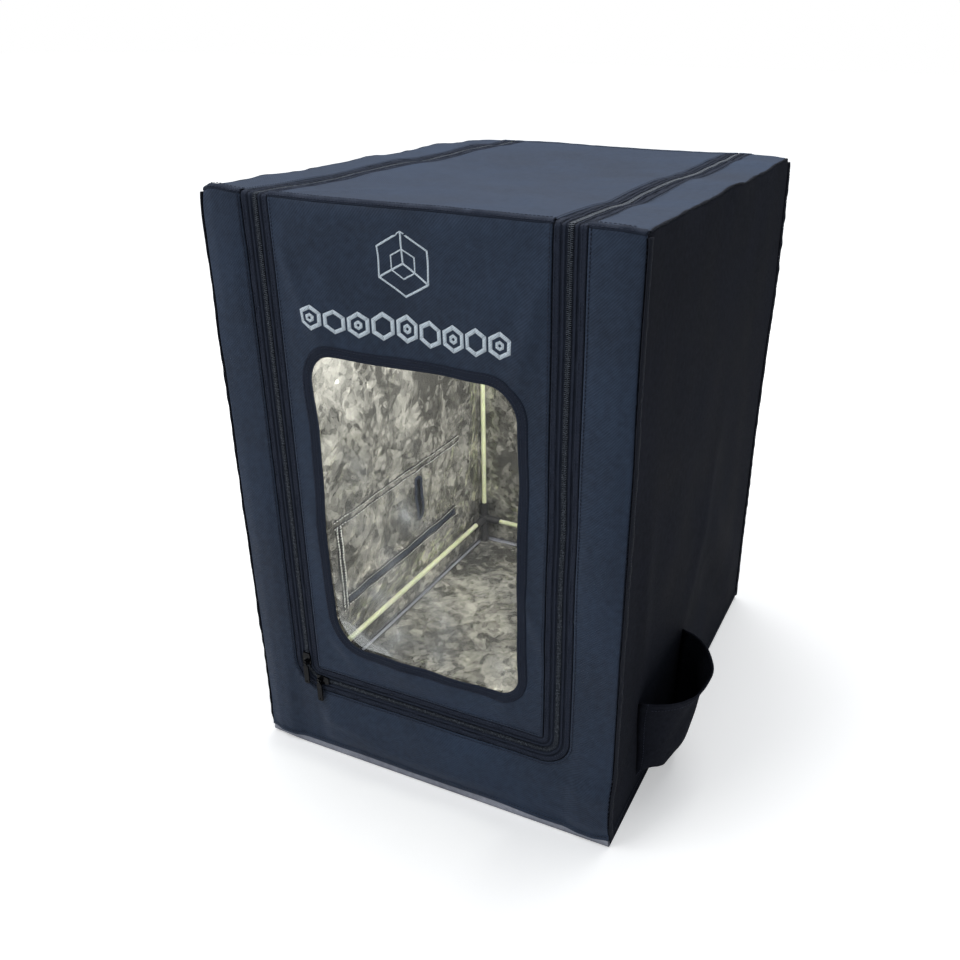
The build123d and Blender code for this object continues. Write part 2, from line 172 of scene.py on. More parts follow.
def window_distance(a, b, margin=0.0):
    """Signed distance from the window opening, moved outwards by `margin`."""
    a0, a1, b0, b1 = WINDOW
    rect = (a0 - margin, a1 + margin, b0 - margin, b1 + margin)
    return box_distance(a, b, rect, tuple(max(c + margin, 2 * MM) for c in WINDOW_CORNERS))


def slot_distance(a, b):
    return box_distance(a, b, SLOT, (SLOT_WIDE / 2 - 0.1 * MM,) * 4)


# ---------------------------------------------------------------- how the cover sags


# Folds of the panels: height and width in mm, then the two ends, in metres
FRONT_FOLDS = (
    (4.2, 12, (-0.15, 0.686), (0.15, 0.681)),
    (-3.2, 15, (-0.13, 0.654), (0.14, 0.65)),
    (3.6, 9, (-0.148, 0.662), (-0.098, 0.548)),
    (3.8, 10, (0.146, 0.655), (0.112, 0.52)),
    (3.4, 9, (0.122, 0.33), (0.156, 0.24)),
    (3.2, 9, (-0.135, 0.19), (-0.09, 0.148)),
    (3.0, 9, (0.08, 0.15), (0.15, 0.2)),
    (3.2, 10, (-0.2, 0.07), (-0.06, 0.045)),
)
TOP_FOLDS = (
    (2.2, 16, (0.15, -0.29), (0.03, -0.12)),
    (2.0, 13, (-0.15, -0.292), (-0.06, -0.2)),
)
RIGHT_FOLDS = (
    (5, 32, (0.27, 0.09), (-0.02, 0.3)),
    (-6, 26, (0.2, 0.06), (0.02, 0.2)),
    (4, 22, (-0.22, 0.16), (-0.24, 0.42)),
    (3, 24, (-0.05, 0.15), (0.05, 0.4)),
)


def zip_calm(x, z):
    """0 along the straight stretches of zip that the sliders run on, 1 well away from them."""
    left = np.hypot(x + ZIP_X, np.maximum(z - SLIDER_TOP, 0))
    bottom = np.hypot(z - ZIP_Z, np.maximum(np.abs(x) - ZIP_X, 0))
    return smooth(np.minimum(left, bottom), 8 * MM, 34 * MM)


def rod_calm(a, b, half_a, low, high):
    """0 over the rods that run along a panel's edges, 1 well inside it."""
    near = np.minimum(half_a - np.abs(a), np.minimum(high - b, b - low))
    return smooth(near, 16 * MM, 70 * MM)


def sag(value, calm):
    """A panel's movement, outwards positive, which can't go inwards where a rod lies behind."""
    return np.where(value < 0, value * calm, value)


def front_sag(x, z):
    from_zip = ZIP_X - np.abs(x)
    side = smooth(-from_zip, 8 * MM, 34 * MM) * smooth(FACE_X - np.abs(x), 0, 22 * MM)
    low = smooth(ZIP_Z - z, 14 * MM, 44 * MM) * smooth(z, HEM, HEM + 24 * MM)
    door = smooth(from_zip, 10 * MM, 40 * MM) * smooth(z - ZIP_Z, 20 * MM, 50 * MM)
    value = side * (3.6 + 3.0 * waves(x * 0.3, z, 0.17, 4)) * MM
    value = value + low * (3.8 + 3.2 * waves(x, z * 0.4, 0.2, 5)) * MM
    value = value + door * (2.6 * waves(x, z, 0.16, 3) + 1.2 * waves(x, z, 0.07, 8)) * MM
    value = value + folds(x, z, FRONT_FOLDS)
    right_zip = hill(x - ZIP_X, 14 * MM) * smooth(z, 0.2, 0.3)
    value = value * zip_calm(x, z) + right_zip * 1.1 * MM * waves(x * 0.2, z, 0.12, 6)
    return sag(value, rod_calm(x, z, FACE_X, ROD_RING, TOP))


def top_sag(x, y):
    calm = rod_calm(x, y, FACE_X, -FACE_Y, FACE_Y)
    value = -5.5 * MM * smooth(ZIP_X - np.abs(x), 0, 0.12) * smooth(FACE_Y - np.abs(y), 0.02, 0.2)
    value = value + 1.8 * MM * waves(x, y, 0.2, 11) + 0.8 * MM * waves(x, y, 0.075, 12) * calm
    value = value + folds(x, y, TOP_FOLDS)
    strip = smooth(np.abs(x), ZIP_X + 5 * MM, ZIP_X + 30 * MM)
    value = value + strip * 2.4 * MM * waves(x * 0.25, y, 0.13, 13)
    return sag(value, 0.35 + 0.65 * calm)


def right_sag(y, z):
    calm = rod_calm(y, z, FACE_Y, ROD_RING, TOP)
    value = 2.4 * MM * waves(y, z * 0.5, 0.34, 21) + 0.5 * MM * waves(y, z * 0.6, 0.11, 22)
    value = value + folds(y, z, RIGHT_FOLDS)
    value = value + hill(TOP - z, 22 * MM) * 2.4 * MM * waves(y, z * 0.1, 0.11, 23)
    return sag(value, 0.3 + 0.7 * calm)


def left_sag(y, z):
    calm = rod_calm(y, z, FACE_Y, ROD_RING, TOP)
    flap_y, flap_half, flap_z = 0.03, 0.165, 0.17
    beside_flap = smooth(np.hypot(np.maximum(np.abs(y - flap_y) - flap_half, 0), z - flap_z), 0.06, 0.14)
    value = 3.2 * MM * waves(y, z * 0.35, 0.24, 31) + 1.1 * MM * waves(y, z, 0.08, 32)
    return sag(value * beside_flap, 0.3 + 0.7 * calm)


def back_sag(x, z):
    calm = rod_calm(x, z, FACE_X, ROD_RING, TOP)
    value = 3.4 * MM * waves(x * 0.5, z * 0.4, 0.2, 41) + 1.1 * MM * waves(x, z, 0.08, 42)
    return sag(value, 0.3 + 0.7 * calm)


def round_edges(p):
    """Rounds the box's edges. Layers at one depth stay at that depth."""
    r = EDGE_RADIUS * (0.4 + 0.6 * smooth(p[:, 2:], 20 * MM, 60 * MM))
    half = np.array([FACE_X, FACE_Y, TOP / 2])
    centred = p - np.array([0, 0, TOP / 2])
    over = np.maximum(np.abs(centred) - (half - r), 0)
    length = np.linalg.norm(over, axis=1)
    scale = np.where(length > 1e-9, over.max(axis=1) / np.maximum(length, 1e-9), 1)
    return p + np.sign(centred) * over * (scale[:, None] - 1)


def slacken(p):
    """Rounds the box's edges and adds the sags and folds of the sides nearest to each point."""
    p = round_edges(np.asarray(p, float))
    x, y, z = p.T

    def near(depth):
        return np.exp(-((np.maximum(depth, 0) / (16 * MM)) ** 4))

    front, back = near(y + FACE_Y), near(FACE_Y - y)
    left, right = near(x + FACE_X), near(FACE_X - x)
    top = near(TOP - z)
    moved = p.copy()
    wall = smooth(z, 0, 12 * MM)
    moved[:, 1] += (back * back_sag(x, z) - front * front_sag(x, z)) * wall
    moved[:, 0] += (right * right_sag(y, z) - left * left_sag(y, z)) * wall
    moved[:, 2] += top * top_sag(x, y)

    # the window's edge and the cloth around it are pulled a little out of line
    pull = front * zip_calm(x, z) * smooth(ZIP_X - np.abs(x), 6 * MM, 50 * MM)
    pull = pull * smooth(TOP - z, 20 * MM, 60 * MM) * smooth(z, 30 * MM, 90 * MM)
    moved[:, 2] += pull * 2.0 * MM * waves(x, z, 0.11, 51)
    moved[:, 0] += pull * 1.6 * MM * waves(x, z, 0.12, 52)

    # the right zip band wanders on the front and on the top
    band = front * hill(x - ZIP_X, 30 * MM) * smooth(z, 0.2, 0.3)
    moved[:, 0] += band * 1.3 * MM * waves(x * 0.1, z, 0.17, 53)
    band = top * hill(x - ZIP_X, 34 * MM) * smooth(np.abs(y + FACE_Y), 0, 0.06)
    moved[:, 0] += band * 0.9 * MM * waves(x * 0.1, y, 0.2, 54) * smooth(FACE_Y - y, 0, 0.05)

    # the cloth turned up below the hem is slack, and its left front corner hangs clear of the table
    away = np.hypot(FACE_X - np.abs(x), FACE_Y - np.abs(y))
    slack = (1 - smooth(z, 0.5 * HEM, 2.2 * HEM)) * wall * smooth(away, 20 * MM, 70 * MM) * MM
    moved[:, 1] += front * slack * (1.0 + 1.6 * waves(x, z * 0.2, 0.14, 55))
    moved[:, 0] -= right * slack * (1.0 + 1.6 * waves(y, z * 0.2, 0.15, 56))
    moved[:, 0] += left * slack * (1.0 + 1.6 * waves(y, z * 0.2, 0.15, 57))
    corner = hill(np.hypot(x + FACE_X, y + FACE_Y), 30 * MM)
    moved[:, 2] += corner * 3 * MM * (1 - smooth(z, 0, 2.5 * HEM))

    # the top corners are blunt, and the left front one is humped
    blunt = hill(np.hypot(away, z - TOP), 14 * MM)
    moved[:, 0] -= np.sign(x) * blunt * 1.8 * MM
    moved[:, 1] -= np.sign(y) * blunt * 1.8 * MM
    moved[:, 2] -= blunt * 2.5 * MM
    from_hump = np.hypot(np.hypot(x + FACE_X - 22 * MM, y + FACE_Y - 8 * MM), z - TOP)
    moved[:, 2] += hill(from_hump, 20 * MM) * 3.5 * MM
    return moved


# ---------------------------------------------------------------- places on the box


def side_of_box(a_axis, b_axis, face_axis, face, inwards):
    """A function that puts flat places on one side: a and b along two axes, depth inwards from its face."""

    def place(flat, depth):
        points = np.zeros((len(flat), 3))
        points[:, a_axis], points[:, b_axis] = flat.T
        points[:, face_axis] = face + inwards * depth
        return points

    return place


place_front = side_of_box(0, 2, 1, -FACE_Y, 1)
place_back = side_of_box(0, 2, 1, FACE_Y, -1)
place_left = side_of_box(1, 2, 0, -FACE_X, 1)
place_right = side_of_box(1, 2, 0, FACE_X, -1)
place_top = side_of_box(0, 1, 2, TOP, -1)
place_floor = side_of_box(0, 1, 2, 0, 1)

# The four upright sides, each with half its width
SIDES = ((place_front, FACE_X), (place_back, FACE_X), (place_left, FACE_Y), (place_right, FACE_Y))


def place_over(flat, depth):
    """The front and the top as one sheet: b rises to TOP, then runs on backwards over the top."""
    a, b = flat.T
    depth = depth + 0 * a
    take = np.maximum(0, 1 - np.abs(b - TOP) / (12 * MM)) * depth
    z = np.where(b < TOP, b - take, TOP - depth)
    y = np.where(b < TOP, depth - FACE_Y, b - TOP - FACE_Y + take)
    return np.stack([a, y, z], -1)


def place_rear(flat, depth):
    """The top and the back as one sheet: b runs backwards to the rear edge, then down the back."""
    a, b = flat.T
    depth = depth + 0 * a
    y = np.where(b < FACE_Y, b, FACE_Y - depth)
    z = np.where(b < FACE_Y, TOP - depth, TOP - (b - FACE_Y))
    return np.stack([a, np.minimum(y, FACE_Y - depth), np.minimum(z, TOP - depth)], -1)


# ---------------------------------------------------------------- meshes


def lines(keys, step=STEP):
    """Grid lines through every key, at most a step apart."""
    keys = sorted(keys)
    out = [keys[0]]
    for a, b in zip(keys, keys[1:]):
        n = max(1, math.ceil((b - a) / step - 1e-6))
        out += [a + (b - a) * i / n for i in range(1, n + 1)]
    return np.array(out)


def edge_lines(low, high, step=STEP, keys=()):
    """Grid lines that are closer together at both ends, where an edge is rounded."""
    near = [o * MM for o in (1.2, 2.4, 3.8, 5.4)]
    ends = [low, high] + [low + o for o in near] + [high - o for o in near]
    return lines(ends + list(keys), step)


def strip_quads(index):
    """Quads between neighbouring rows and columns of a table of point numbers."""
    return np.stack([index[:-1, :-1], index[1:, :-1], index[1:, 1:], index[:-1, 1:]], -1).reshape(-1, 4)


def tube_quads(rings, count):
    """Quads around rings of `count` points, and across the first and last ring."""
    index = np.arange(rings * count).reshape(rings, count)
    ends = np.array([[j, j + 1, count - 2 - j, count - 1 - j] for j in range(count // 2 - 1)])
    return np.vstack([strip_quads(np.hstack([index, index[:, :1]])), ends, ends + index[-1, 0]])


def rim_edges(quads):
    """Edges with a face on only one side, each in the direction of its face."""
    pairs = np.concatenate([quads[:, [i, (i + 1) % 4]] for i in range(4)])
    size = pairs.max() + 1
    key = pairs[:, 0] * size + pairs[:, 1]
    back = pairs[:, 1] * size + pairs[:, 0]
    return pairs[~np.isin(key, back)]


def flat_grid(a_lines, b_lines, distance=None):
    """Grid points and quads. With a distance function, only the cells inside its outline are kept, and the
    rim points beside the outline are moved onto it."""
    a, b = np.meshgrid(a_lines, b_lines, indexing="ij")
    flat = np.stack([a.ravel(), b.ravel()], -1)
    quads = strip_quads(np.arange(a.size).reshape(a.shape))
    if distance is None:
        return flat, quads
    quads = quads[distance(*flat[quads].mean(axis=1).T) < 0]
    used, inverse = np.unique(quads, return_inverse=True)
    flat, quads = flat[used], inverse.reshape(-1, 4)
    rim = np.unique(rim_edges(quads))
    rim = rim[np.abs(distance(*flat[rim].T)) < 1.5 * STEP]
    tiny = 0.01 * MM
    for _ in range(4):
        a, b = flat[rim].T
        slope_a = (distance(a + tiny, b) - distance(a - tiny, b)) / (2 * tiny)
        slope_b = (distance(a, b + tiny) - distance(a, b - tiny)) / (2 * tiny)
        size = np.maximum(slope_a**2 + slope_b**2, 0.2)
        flat[rim] -= (distance(a, b) / size)[:, None] * np.stack([slope_a, slope_b], -1)
    return flat, quads


def shell(outer, inner, quads):
    """A closed sheet with an outer and an inner face."""
    count = len(outer)
    rim = rim_edges(quads)
    sides = np.stack([rim[:, 1], rim[:, 0], rim[:, 0] + count, rim[:, 1] + count], -1)
    return np.vstack([outer, inner]), np.vstack([quads, quads[:, ::-1] + count, sides])


def sheet(grid, place, depth, thickness, relief=None, inner_relief=None):
    """A closed sheet on one side of the box. relief stands out from the outer face, and inner_relief moves
    the inner face outwards; by default both faces follow relief."""
    flat, quads = grid
    rise = relief(*flat.T) if relief else 0
    inner_rise = inner_relief(*flat.T) if inner_relief else rise
    outer = slacken(place(flat, depth - rise))
    inner = slacken(place(flat, depth + thickness - inner_rise))
    return shell(outer, inner, quads)


def level(a, b):
    """No relief."""
    return 0 * a


def join_parts(parts):
    """One list of points and faces from several."""
    starts = np.cumsum([0] + [len(points) for points, _ in parts[:-1]])
    faces = [np.asarray(quads) + start for (_, quads), start in zip(parts, starts)]
    return np.vstack([points for points, _ in parts]), np.vstack(faces)


def mesh_object(name, points, faces, material):
    mesh = bpy.data.meshes.new(name)
    mesh.from_pydata(np.asarray(points).tolist(), [], np.asarray(faces).tolist())
    bm = bmesh.new()
    bm.from_mesh(mesh)
    bmesh.ops.recalc_face_normals(bm, faces=bm.faces)
    bm.to_mesh(mesh)
    bm.free()
    mesh.polygons.foreach_set("use_smooth", [True] * len(mesh.polygons))
    mesh.materials.append(material)
    piece = bpy.data.objects.new(name, mesh)
    bpy.context.scene.collection.objects.link(piece)
    return piece


def add_piece(name, parts, material, replaces="", body="cover"):
    """A piece made of one or more (points, faces) parts. replaces names the CAD nodes it stands for. body is
    a body's name, or a function that is called with the piece instead of fastening it to a body."""
    piece = mesh_object(name, *join_parts(parts if isinstance(parts, list) else [parts]), material)
    if replaces:
        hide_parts(*replaces.split())
    if callable(body):
        body(piece)
    else:
        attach(piece, body)


def unit(v):
    return v / np.maximum(np.linalg.norm(v, axis=-1, keepdims=True), 1e-12)


def resample(line, spacing, closed=False):
    """Places at an equal spacing along a line, as fractional numbers of its points."""
    line = np.vstack([line, line[:1]]) if closed else line
    run = np.concatenate([[0], np.cumsum(np.linalg.norm(np.diff(line, axis=0), axis=1))])
    count = max(2, int(round(run[-1] / spacing)))
    at = np.linspace(0, run[-1], count, endpoint=not closed)
    return np.interp(at, run, np.arange(len(line)))


def pick(values, index):
    """Values between the rows of a table, at fractional row numbers. The table's end wraps to its start."""
    values = np.vstack([values, values[:1]])
    whole = np.floor(index).astype(int)
    part = (index - whole)[:, None]
    return values[whole] * (1 - part) + values[np.minimum(whole + 1, len(values) - 1)] * part


def straight(start, end, step=STEP):
    """Evenly spaced places from start to end in a panel's plane."""
    start, end = np.array(start, float), np.array(end, float)
    count = max(2, int(np.linalg.norm(end - start) / step) + 1)
    return start + (end - start) * np.linspace(0, 1, count)[:, None]


def surface_line(place, flat, depth):
    """A line on the cover, with the outward direction at each of its points."""
    on = slacken(place(flat, depth))
    return on, unit(slacken(place(flat, depth - 0.5 * MM)) - on)


def bars(middle, along, side, up, rings):
    """A closed bar at each place, through rings of (along, side, up) offsets."""
    rings = np.array(rings)
    points = middle[:, None] + rings.reshape(-1, 3) @ np.stack([along, side, up], 1)
    size = rings.shape[0] * rings.shape[1]
    faces = tube_quads(*rings.shape[:2])[None] + size * np.arange(len(middle))[:, None, None]
    return points.reshape(-1, 3), faces.reshape(-1, 4)


def stitches(line, outward, closed=False, length=STITCH, gap=STITCH_GAP, thread=THREAD):
    """A row of thread stitches along a line, as rounded bars of four sides."""
    at = resample(line, length + gap, closed)
    last = len(line) if closed else len(line) - 1
    ahead = pick(line, np.minimum(at + 0.1, last)) - pick(line, np.maximum(at - 0.1, 0))
    along, up = unit(ahead), unit(pick(outward, np.minimum(at, last)))
    rings = [
        [(run * length, across * width * thread, (height * width + lift) * thread)
         for across, height in ((-1, -0.7), (1, -0.7), (0.8, 0.8), (-0.8, 0.8))]
        for run, width, lift in ((-0.5, 0.45, -0.6), (-0.28, 1, 0.35), (0.28, 1, 0.35), (0.5, 0.45, -0.6))
    ]
    return bars(pick(line, np.minimum(at, last)), along, unit(np.cross(along, up)), up, rings)


def stitch_row(place, flat, depth, closed=False, length=STITCH):
    return stitches(*surface_line(place, flat, depth), closed, length)


def tube(line, outward, sections):
    """A swept tube. sections holds a ring of (sideways, outward) pairs for each point of the line."""
    ahead = np.gradient(line, axis=0)
    along = unit(ahead)
    side = unit(np.cross(along, outward))
    up = unit(np.cross(side, along))
    points = line[:, None] + side[:, None] * sections[..., :1] + up[:, None] * sections[..., 1:]
    return points.reshape(-1, 3), tube_quads(*sections.shape[:2])


def oval(width, height, count, lift=0.0):
    """A closed section `width` across and `height` thick."""
    turn = 2 * math.pi * np.arange(count) / count
    return np.stack([width / 2 * np.cos(turn), height / 2 * np.sin(turn) + lift], -1)


# ---------------------------------------------------------------- materials


class Nodes:
    """The node tree of a material or a world, with short ways to add and link nodes."""

    def __init__(self, name, kind=bpy.data.materials):
        self.owner = kind.new(name)
        self.owner.use_nodes = True
        self.tree = self.owner.node_tree
        self.shader = next(n for n in self.tree.nodes if n.type in ("BSDF_PRINCIPLED", "BACKGROUND"))

    def add(self, kind, **inputs):
        """Adds a node. Its settings come as _name=value and its inputs by name, as values or sockets."""
        node = self.tree.nodes.new(kind)
        for key, value in inputs.items():
            if key.startswith("_"):
                setattr(node, key[1:], value)
            else:
                self.set(node, key, value)
        return node

    def set(self, node, key, value):
        name = int(key[1:]) if key[0] == "i" and key[1:].isdigit() else key.replace("__", " ")
        if isinstance(value, bpy.types.NodeSocket):
            self.tree.links.new(value, node.inputs[name])
        else:
            node.inputs[name].default_value = value

    def look(self, **inputs):
        """Sets inputs of the surface shader."""
        for key, value in inputs.items():
            self.set(self.shader, key, value)

    def position(self):
        return self.add("ShaderNodeTexCoord").outputs["Object"]

    def math(self, operation, a, b=0.0, c=0.0):
        return self.add("ShaderNodeMath", _operation=operation, i0=a, i1=b, i2=c).outputs[0]

    def vector(self, operation, *values):
        inputs = {f"i{number}": value for number, value in enumerate(values)}
        return self.add("ShaderNodeVectorMath", _operation=operation, **inputs).outputs[0]

    def weigh(self, *shares):
        """The sum of values, each times its share."""
        total = 0.0
        for value, share in shares:
            total = self.math("MULTIPLY_ADD", value, share, total)
        return total

    def noise(self, scale, detail=3.0, **more):
        if "Vector" not in more:
            more["Vector"] = self.position()
        return self.add("ShaderNodeTexNoise", Scale=scale, Detail=detail, **more).outputs["Fac"]

    def stripes(self, direction, pitch):
        """A value that rises and falls along a direction, once in every pitch, from 0 to 1."""
        wave = tuple(2 * math.pi / pitch * c for c in unit(np.array(direction, float)))
        dot = self.add("ShaderNodeVectorMath", _operation="DOT_PRODUCT", i0=self.position(), i1=wave)
        return self.math("MULTIPLY_ADD", self.math("SINE", dot.outputs["Value"]), 0.5, 0.5)

    def level(self, value, low, high, start=0.0, end=1.0):
        """A number between two others, as value goes from start to end."""
        node = self.add("ShaderNodeMapRange", Value=value, From__Min=start, From__Max=end,
                        To__Min=low, To__Max=high)
        return node.outputs["Result"]

    def ramp(self, value, low, high, start=0.0, end=1.0):
        """A colour between two others, as value goes from start to end."""
        mix = self.add("ShaderNodeMix", _data_type="RGBA", Factor=self.level(value, 0, 1, start, end))
        mix.inputs["A"].default_value = (*low, 1)
        mix.inputs["B"].default_value = (*high, 1)
        return mix.outputs["Result"]

    def shade_in_creases(self, colour, reach, least):
        """The colour, darkened by an ambient occlusion node in creases and under edges: painted shade."""
        # painted shade: ambient occlusion scales the colour down where other surfaces are near
        near = self.add("ShaderNodeAmbientOcclusion", _samples=6, Distance=reach)
        keep = self.level(near.outputs["AO"], least, 1.0, 0.25, 0.85)
        return self.add("ShaderNodeVectorMath", _operation="SCALE", i0=colour, Scale=keep).outputs[0]

    def bump(self, height, depth, strength):
        node = self.add("ShaderNodeBump", Height=height, Distance=depth, Strength=strength)
        self.look(Normal=node.outputs["Normal"])


def cloth_material(name, dark, light, twill=1.9 * MM, roughness=0.68, sheen=0.12, gloss=0.3):
    """Coated polyester: a fine diagonal twill with a crosswise thread, mottled at random in tone, with
    painted shade in creases and under edges.
    """
    n = Nodes(name)
    diagonal = n.stripes((1, 1, -1), twill)
    thread, cloud, speck = n.noise(900, 2), n.noise(9, 4), n.noise(150, 3)
    mottle = n.weigh((cloud, 0.62), (speck, 0.42), (n.math("MULTIPLY", diagonal, thread), 0.3))
    n.look(
        # painted shade: ambient occlusion darkens the cloth's colour in creases and under edges
        Base__Color=n.shade_in_creases(n.ramp(mottle, dark, light, 0.4, 0.82), 10 * MM, 0.4),
        Roughness=n.level(cloud, roughness - 0.08, roughness + 0.1, 0.3, 0.7),
        Sheen__Weight=sheen,
        Sheen__Roughness=0.45,
        Sheen__Tint=(0.5, 0.6, 0.9, 1),
        Specular__IOR__Level=gloss,
    )
    n.bump(n.weigh((diagonal, 1.0), (thread, 1.2), (speck, 1.4)), 0.2 * MM, 0.9)
    return n.owner


def tape_material(name, dark, light, rib=0.9 * MM):
    """Woven tape with fine ribs and a fuzzy surface, its colour darkened by painted shade in grooves and
    under edges.
    """
    n = Nodes(name)
    ribs = n.math("MULTIPLY", n.stripes((1, 0.15, 1), rib), n.stripes((1, 0.1, -1), rib))
    fuzz = n.noise(700, 3)
    n.look(
        # painted shade: ambient occlusion darkens the tape's colour in its grooves and under edges
        Base__Color=n.shade_in_creases(n.ramp(n.weigh((ribs, 0.5), (fuzz, 0.6)), dark, light, 0.15, 0.85), 4 * MM, 0.1),
        Roughness=n.level(fuzz, 0.6, 0.9, 0.3, 0.7),
        Specular__IOR__Level=0.12,
    )
    n.bump(n.math("ADD", ribs, fuzz), 0.2 * MM, 0.9)
    return n.owner


def foil_material():
    """Aluminium foil bonded to cloth, crushed at three sizes. Its colour holds painted reflections: bright
    and dark shards, and thin bright crease lines as painted highlights.
    """
    n = Nodes("foil_lining")
    bent = n.position()
    for scale, reach in ((9, 50 * MM), (40, 14 * MM)):
        wobble = n.add("ShaderNodeTexNoise", Scale=scale, Detail=2, Vector=n.position()).outputs["Color"]
        centred = n.vector("SUBTRACT", wobble, (0.5, 0.5, 0.5))
        bent = n.vector("MULTIPLY_ADD", centred, (reach, reach, reach), bent)
    shares = [(n.noise(6, 3), 1.2)]
    for scale, share in ((24, 0.16), (60, 0.28), (130, 0.26)):
        cell = n.add("ShaderNodeTexVoronoi", Scale=scale, Vector=bent)
        shade = n.add("ShaderNodeSeparateColor", Color=cell.outputs["Color"])
        shares.append((shade.outputs["Red"], share))
    crush = n.noise(24, 7, Roughness=0.68, Distortion=1.6, Vector=bent)
    # tone paints bright and dark shards into the foil's colour: painted reflections of the crushed facets
    tone = n.weigh(*shares, (crush, 0.4))
    creases = n.add("ShaderNodeTexVoronoi", _feature="DISTANCE_TO_EDGE", Scale=24, Vector=bent)
    coarse = n.noise(26, 3, _noise_type="RIDGED_MULTIFRACTAL", Vector=bent)
    fine = n.noise(80, 3, _noise_type="RIDGED_MULTIFRACTAL", Vector=bent)
    # glint adds thin bright crease lines to that colour: painted highlights
    glint = n.math("ADD", tone, n.level(fine, 0.0, 0.4, 0.9, 1.7))
    n.look(
        Base__Color=n.ramp(glint, (0.15, 0.147, 0.139), (1.0, 0.98, 0.92), 0.98, 1.56),
        Metallic=0.7,
        Roughness=n.level(tone, 0.24, 0.13, 0.9, 1.3),
    )
    n.bump(n.weigh((creases.outputs["Distance"], 1.2), (coarse, 0.42), (fine, 0.16)), 4.5 * MM, 1.0)
    return n.owner


def window_material():
    """Clear soft vinyl: mostly see-through, with wavy reflections that grow at low angles."""
    n = Nodes("clear_window")
    wavy = n.add("ShaderNodeBump", Height=n.noise(16, 2), Distance=1.2 * MM, Strength=0.6).outputs["Normal"]
    clear = n.add("ShaderNodeBsdfTransparent", Color=(0.93, 0.945, 0.94, 1))
    gloss = n.add("ShaderNodeBsdfGlossy", Color=(1, 1, 1, 1), Roughness=n.level(n.noise(60, 3), 0.03, 0.12),
                  Normal=wavy)
    rim = n.add("ShaderNodeFresnel", IOR=1.32, Normal=wavy)
    mix = n.add("ShaderNodeMixShader", Fac=n.math("MULTIPLY", rim.outputs["Fac"], 0.5),
                i1=clear.outputs["BSDF"], i2=gloss.outputs["BSDF"])
    n.tree.nodes.remove(n.shader)
    n.set(n.tree.nodes["Material Output"], "Surface", mix.outputs["Shader"])
    return n.owner


def coil_material():
    """Nylon coil with a slight polish."""
    n = Nodes("zip_teeth")
    wear = n.noise(300, 3)
    n.look(
        Base__Color=n.ramp(wear, (0.018, 0.022, 0.03), (0.055, 0.063, 0.08), 0.35, 0.7),
        Roughness=n.level(wear, 0.18, 0.3, 0.3, 0.7),
        Specular__IOR__Level=0.35,
        Specular__Tint=(0.75, 0.86, 1.0, 1),
    )
    n.bump(wear, 0.02 * MM, 0.4)
    return n.owner


def black_metal_material(name):
    """Black lacquer on zinc, rubbed a little lighter here and there."""
    n = Nodes(name)
    rub = n.noise(260, 4)
    n.look(
        Base__Color=n.ramp(rub, (0.002, 0.0022, 0.003), (0.014, 0.015, 0.019), 0.5, 0.85),
        Roughness=n.level(rub, 0.12, 0.26, 0.3, 0.75),
        Specular__IOR__Level=0.16,
    )
    n.bump(rub, 0.08 * MM, 0.4)
    return n.owner


def rod_material():
    """Pale yellow-green fibreglass with glass strands in it."""
    n = Nodes("fibreglass_rod")
    strands = n.noise(520, 3)
    streaks = n.weigh((strands, 0.7), (n.noise(30, 3), 0.3))
    n.look(
        Base__Color=n.ramp(streaks, (0.42, 0.45, 0.28), (0.76, 0.79, 0.56), 0.3, 0.7),
        Roughness=n.level(strands, 0.28, 0.5, 0.3, 0.7),
        Subsurface__Weight=0.35,
        Subsurface__Radius=(0.6, 0.8, 0.3),
        Subsurface__Scale=4 * MM,
        Coat__Weight=0.2,
    )
    n.bump(strands, 0.08 * MM, 0.5)
    return n.owner


def moulded_material(name, dark, light, grain_scale=700, roughness=0.5):
    """Moulded plastic with a fine spark-eroded grain."""
    n = Nodes(name)
    grain = n.noise(grain_scale, 3)
    n.look(
        Base__Color=n.ramp(n.noise(25, 3), dark, light, 0.3, 0.7),
        Roughness=n.level(grain, roughness - 0.1, roughness + 0.15, 0.3, 0.7),
    )
    n.bump(grain, 0.06 * MM, 0.7)
    return n.owner


def ink_material():
    """Screen-printed pale ink that sinks into the weave and is worn through in places."""
    n = Nodes("print_ink")
    weave = n.weigh((n.noise(800, 3), 0.7), (n.stripes((1, 1, -1), 1.5 * MM), 0.3))
    n.look(Base__Color=n.ramp(weave, (0.42, 0.52, 0.62), (0.74, 0.82, 0.88), 0.25, 0.6), Roughness=0.62)
    n.bump(weave, 0.1 * MM, 0.7)
    return n.owner


def thread_material(name, dark, light):
    """Twisted sewing thread."""
    n = Nodes(name)
    twist = n.stripes((1, 0.6, 1), 0.5 * MM)
    n.look(Base__Color=n.ramp(twist, dark, light), Roughness=0.5, Specular__IOR__Level=0.2)
    n.bump(twist, 0.08 * MM, 0.8)
    return n.owner


def table_material():
    """Pale, with a painted glow that only the camera sees, rising from 0.4 near the middle to 0.9 further
    out, so that it blends into the white background where the lights don't reach.
    """
    n = Nodes("table")
    away = n.add("ShaderNodeVectorMath", _operation="LENGTH", i0=n.position()).outputs["Value"]
    seen = n.add("ShaderNodeLightPath").outputs["Is Camera Ray"]
    n.look(
        Base__Color=n.ramp(n.noise(3, 3), (0.84, 0.84, 0.84), (0.87, 0.87, 0.87), 0.3, 0.7),
        Roughness=0.75,
        Emission__Color=(1, 1, 1, 1),
        # painted light: emission seen only by camera rays, stronger further from the middle
        Emission__Strength=n.math("MULTIPLY", seen, n.level(away, 0.4, 0.9, 0.35, 1.6)),
    )
    return n.owner


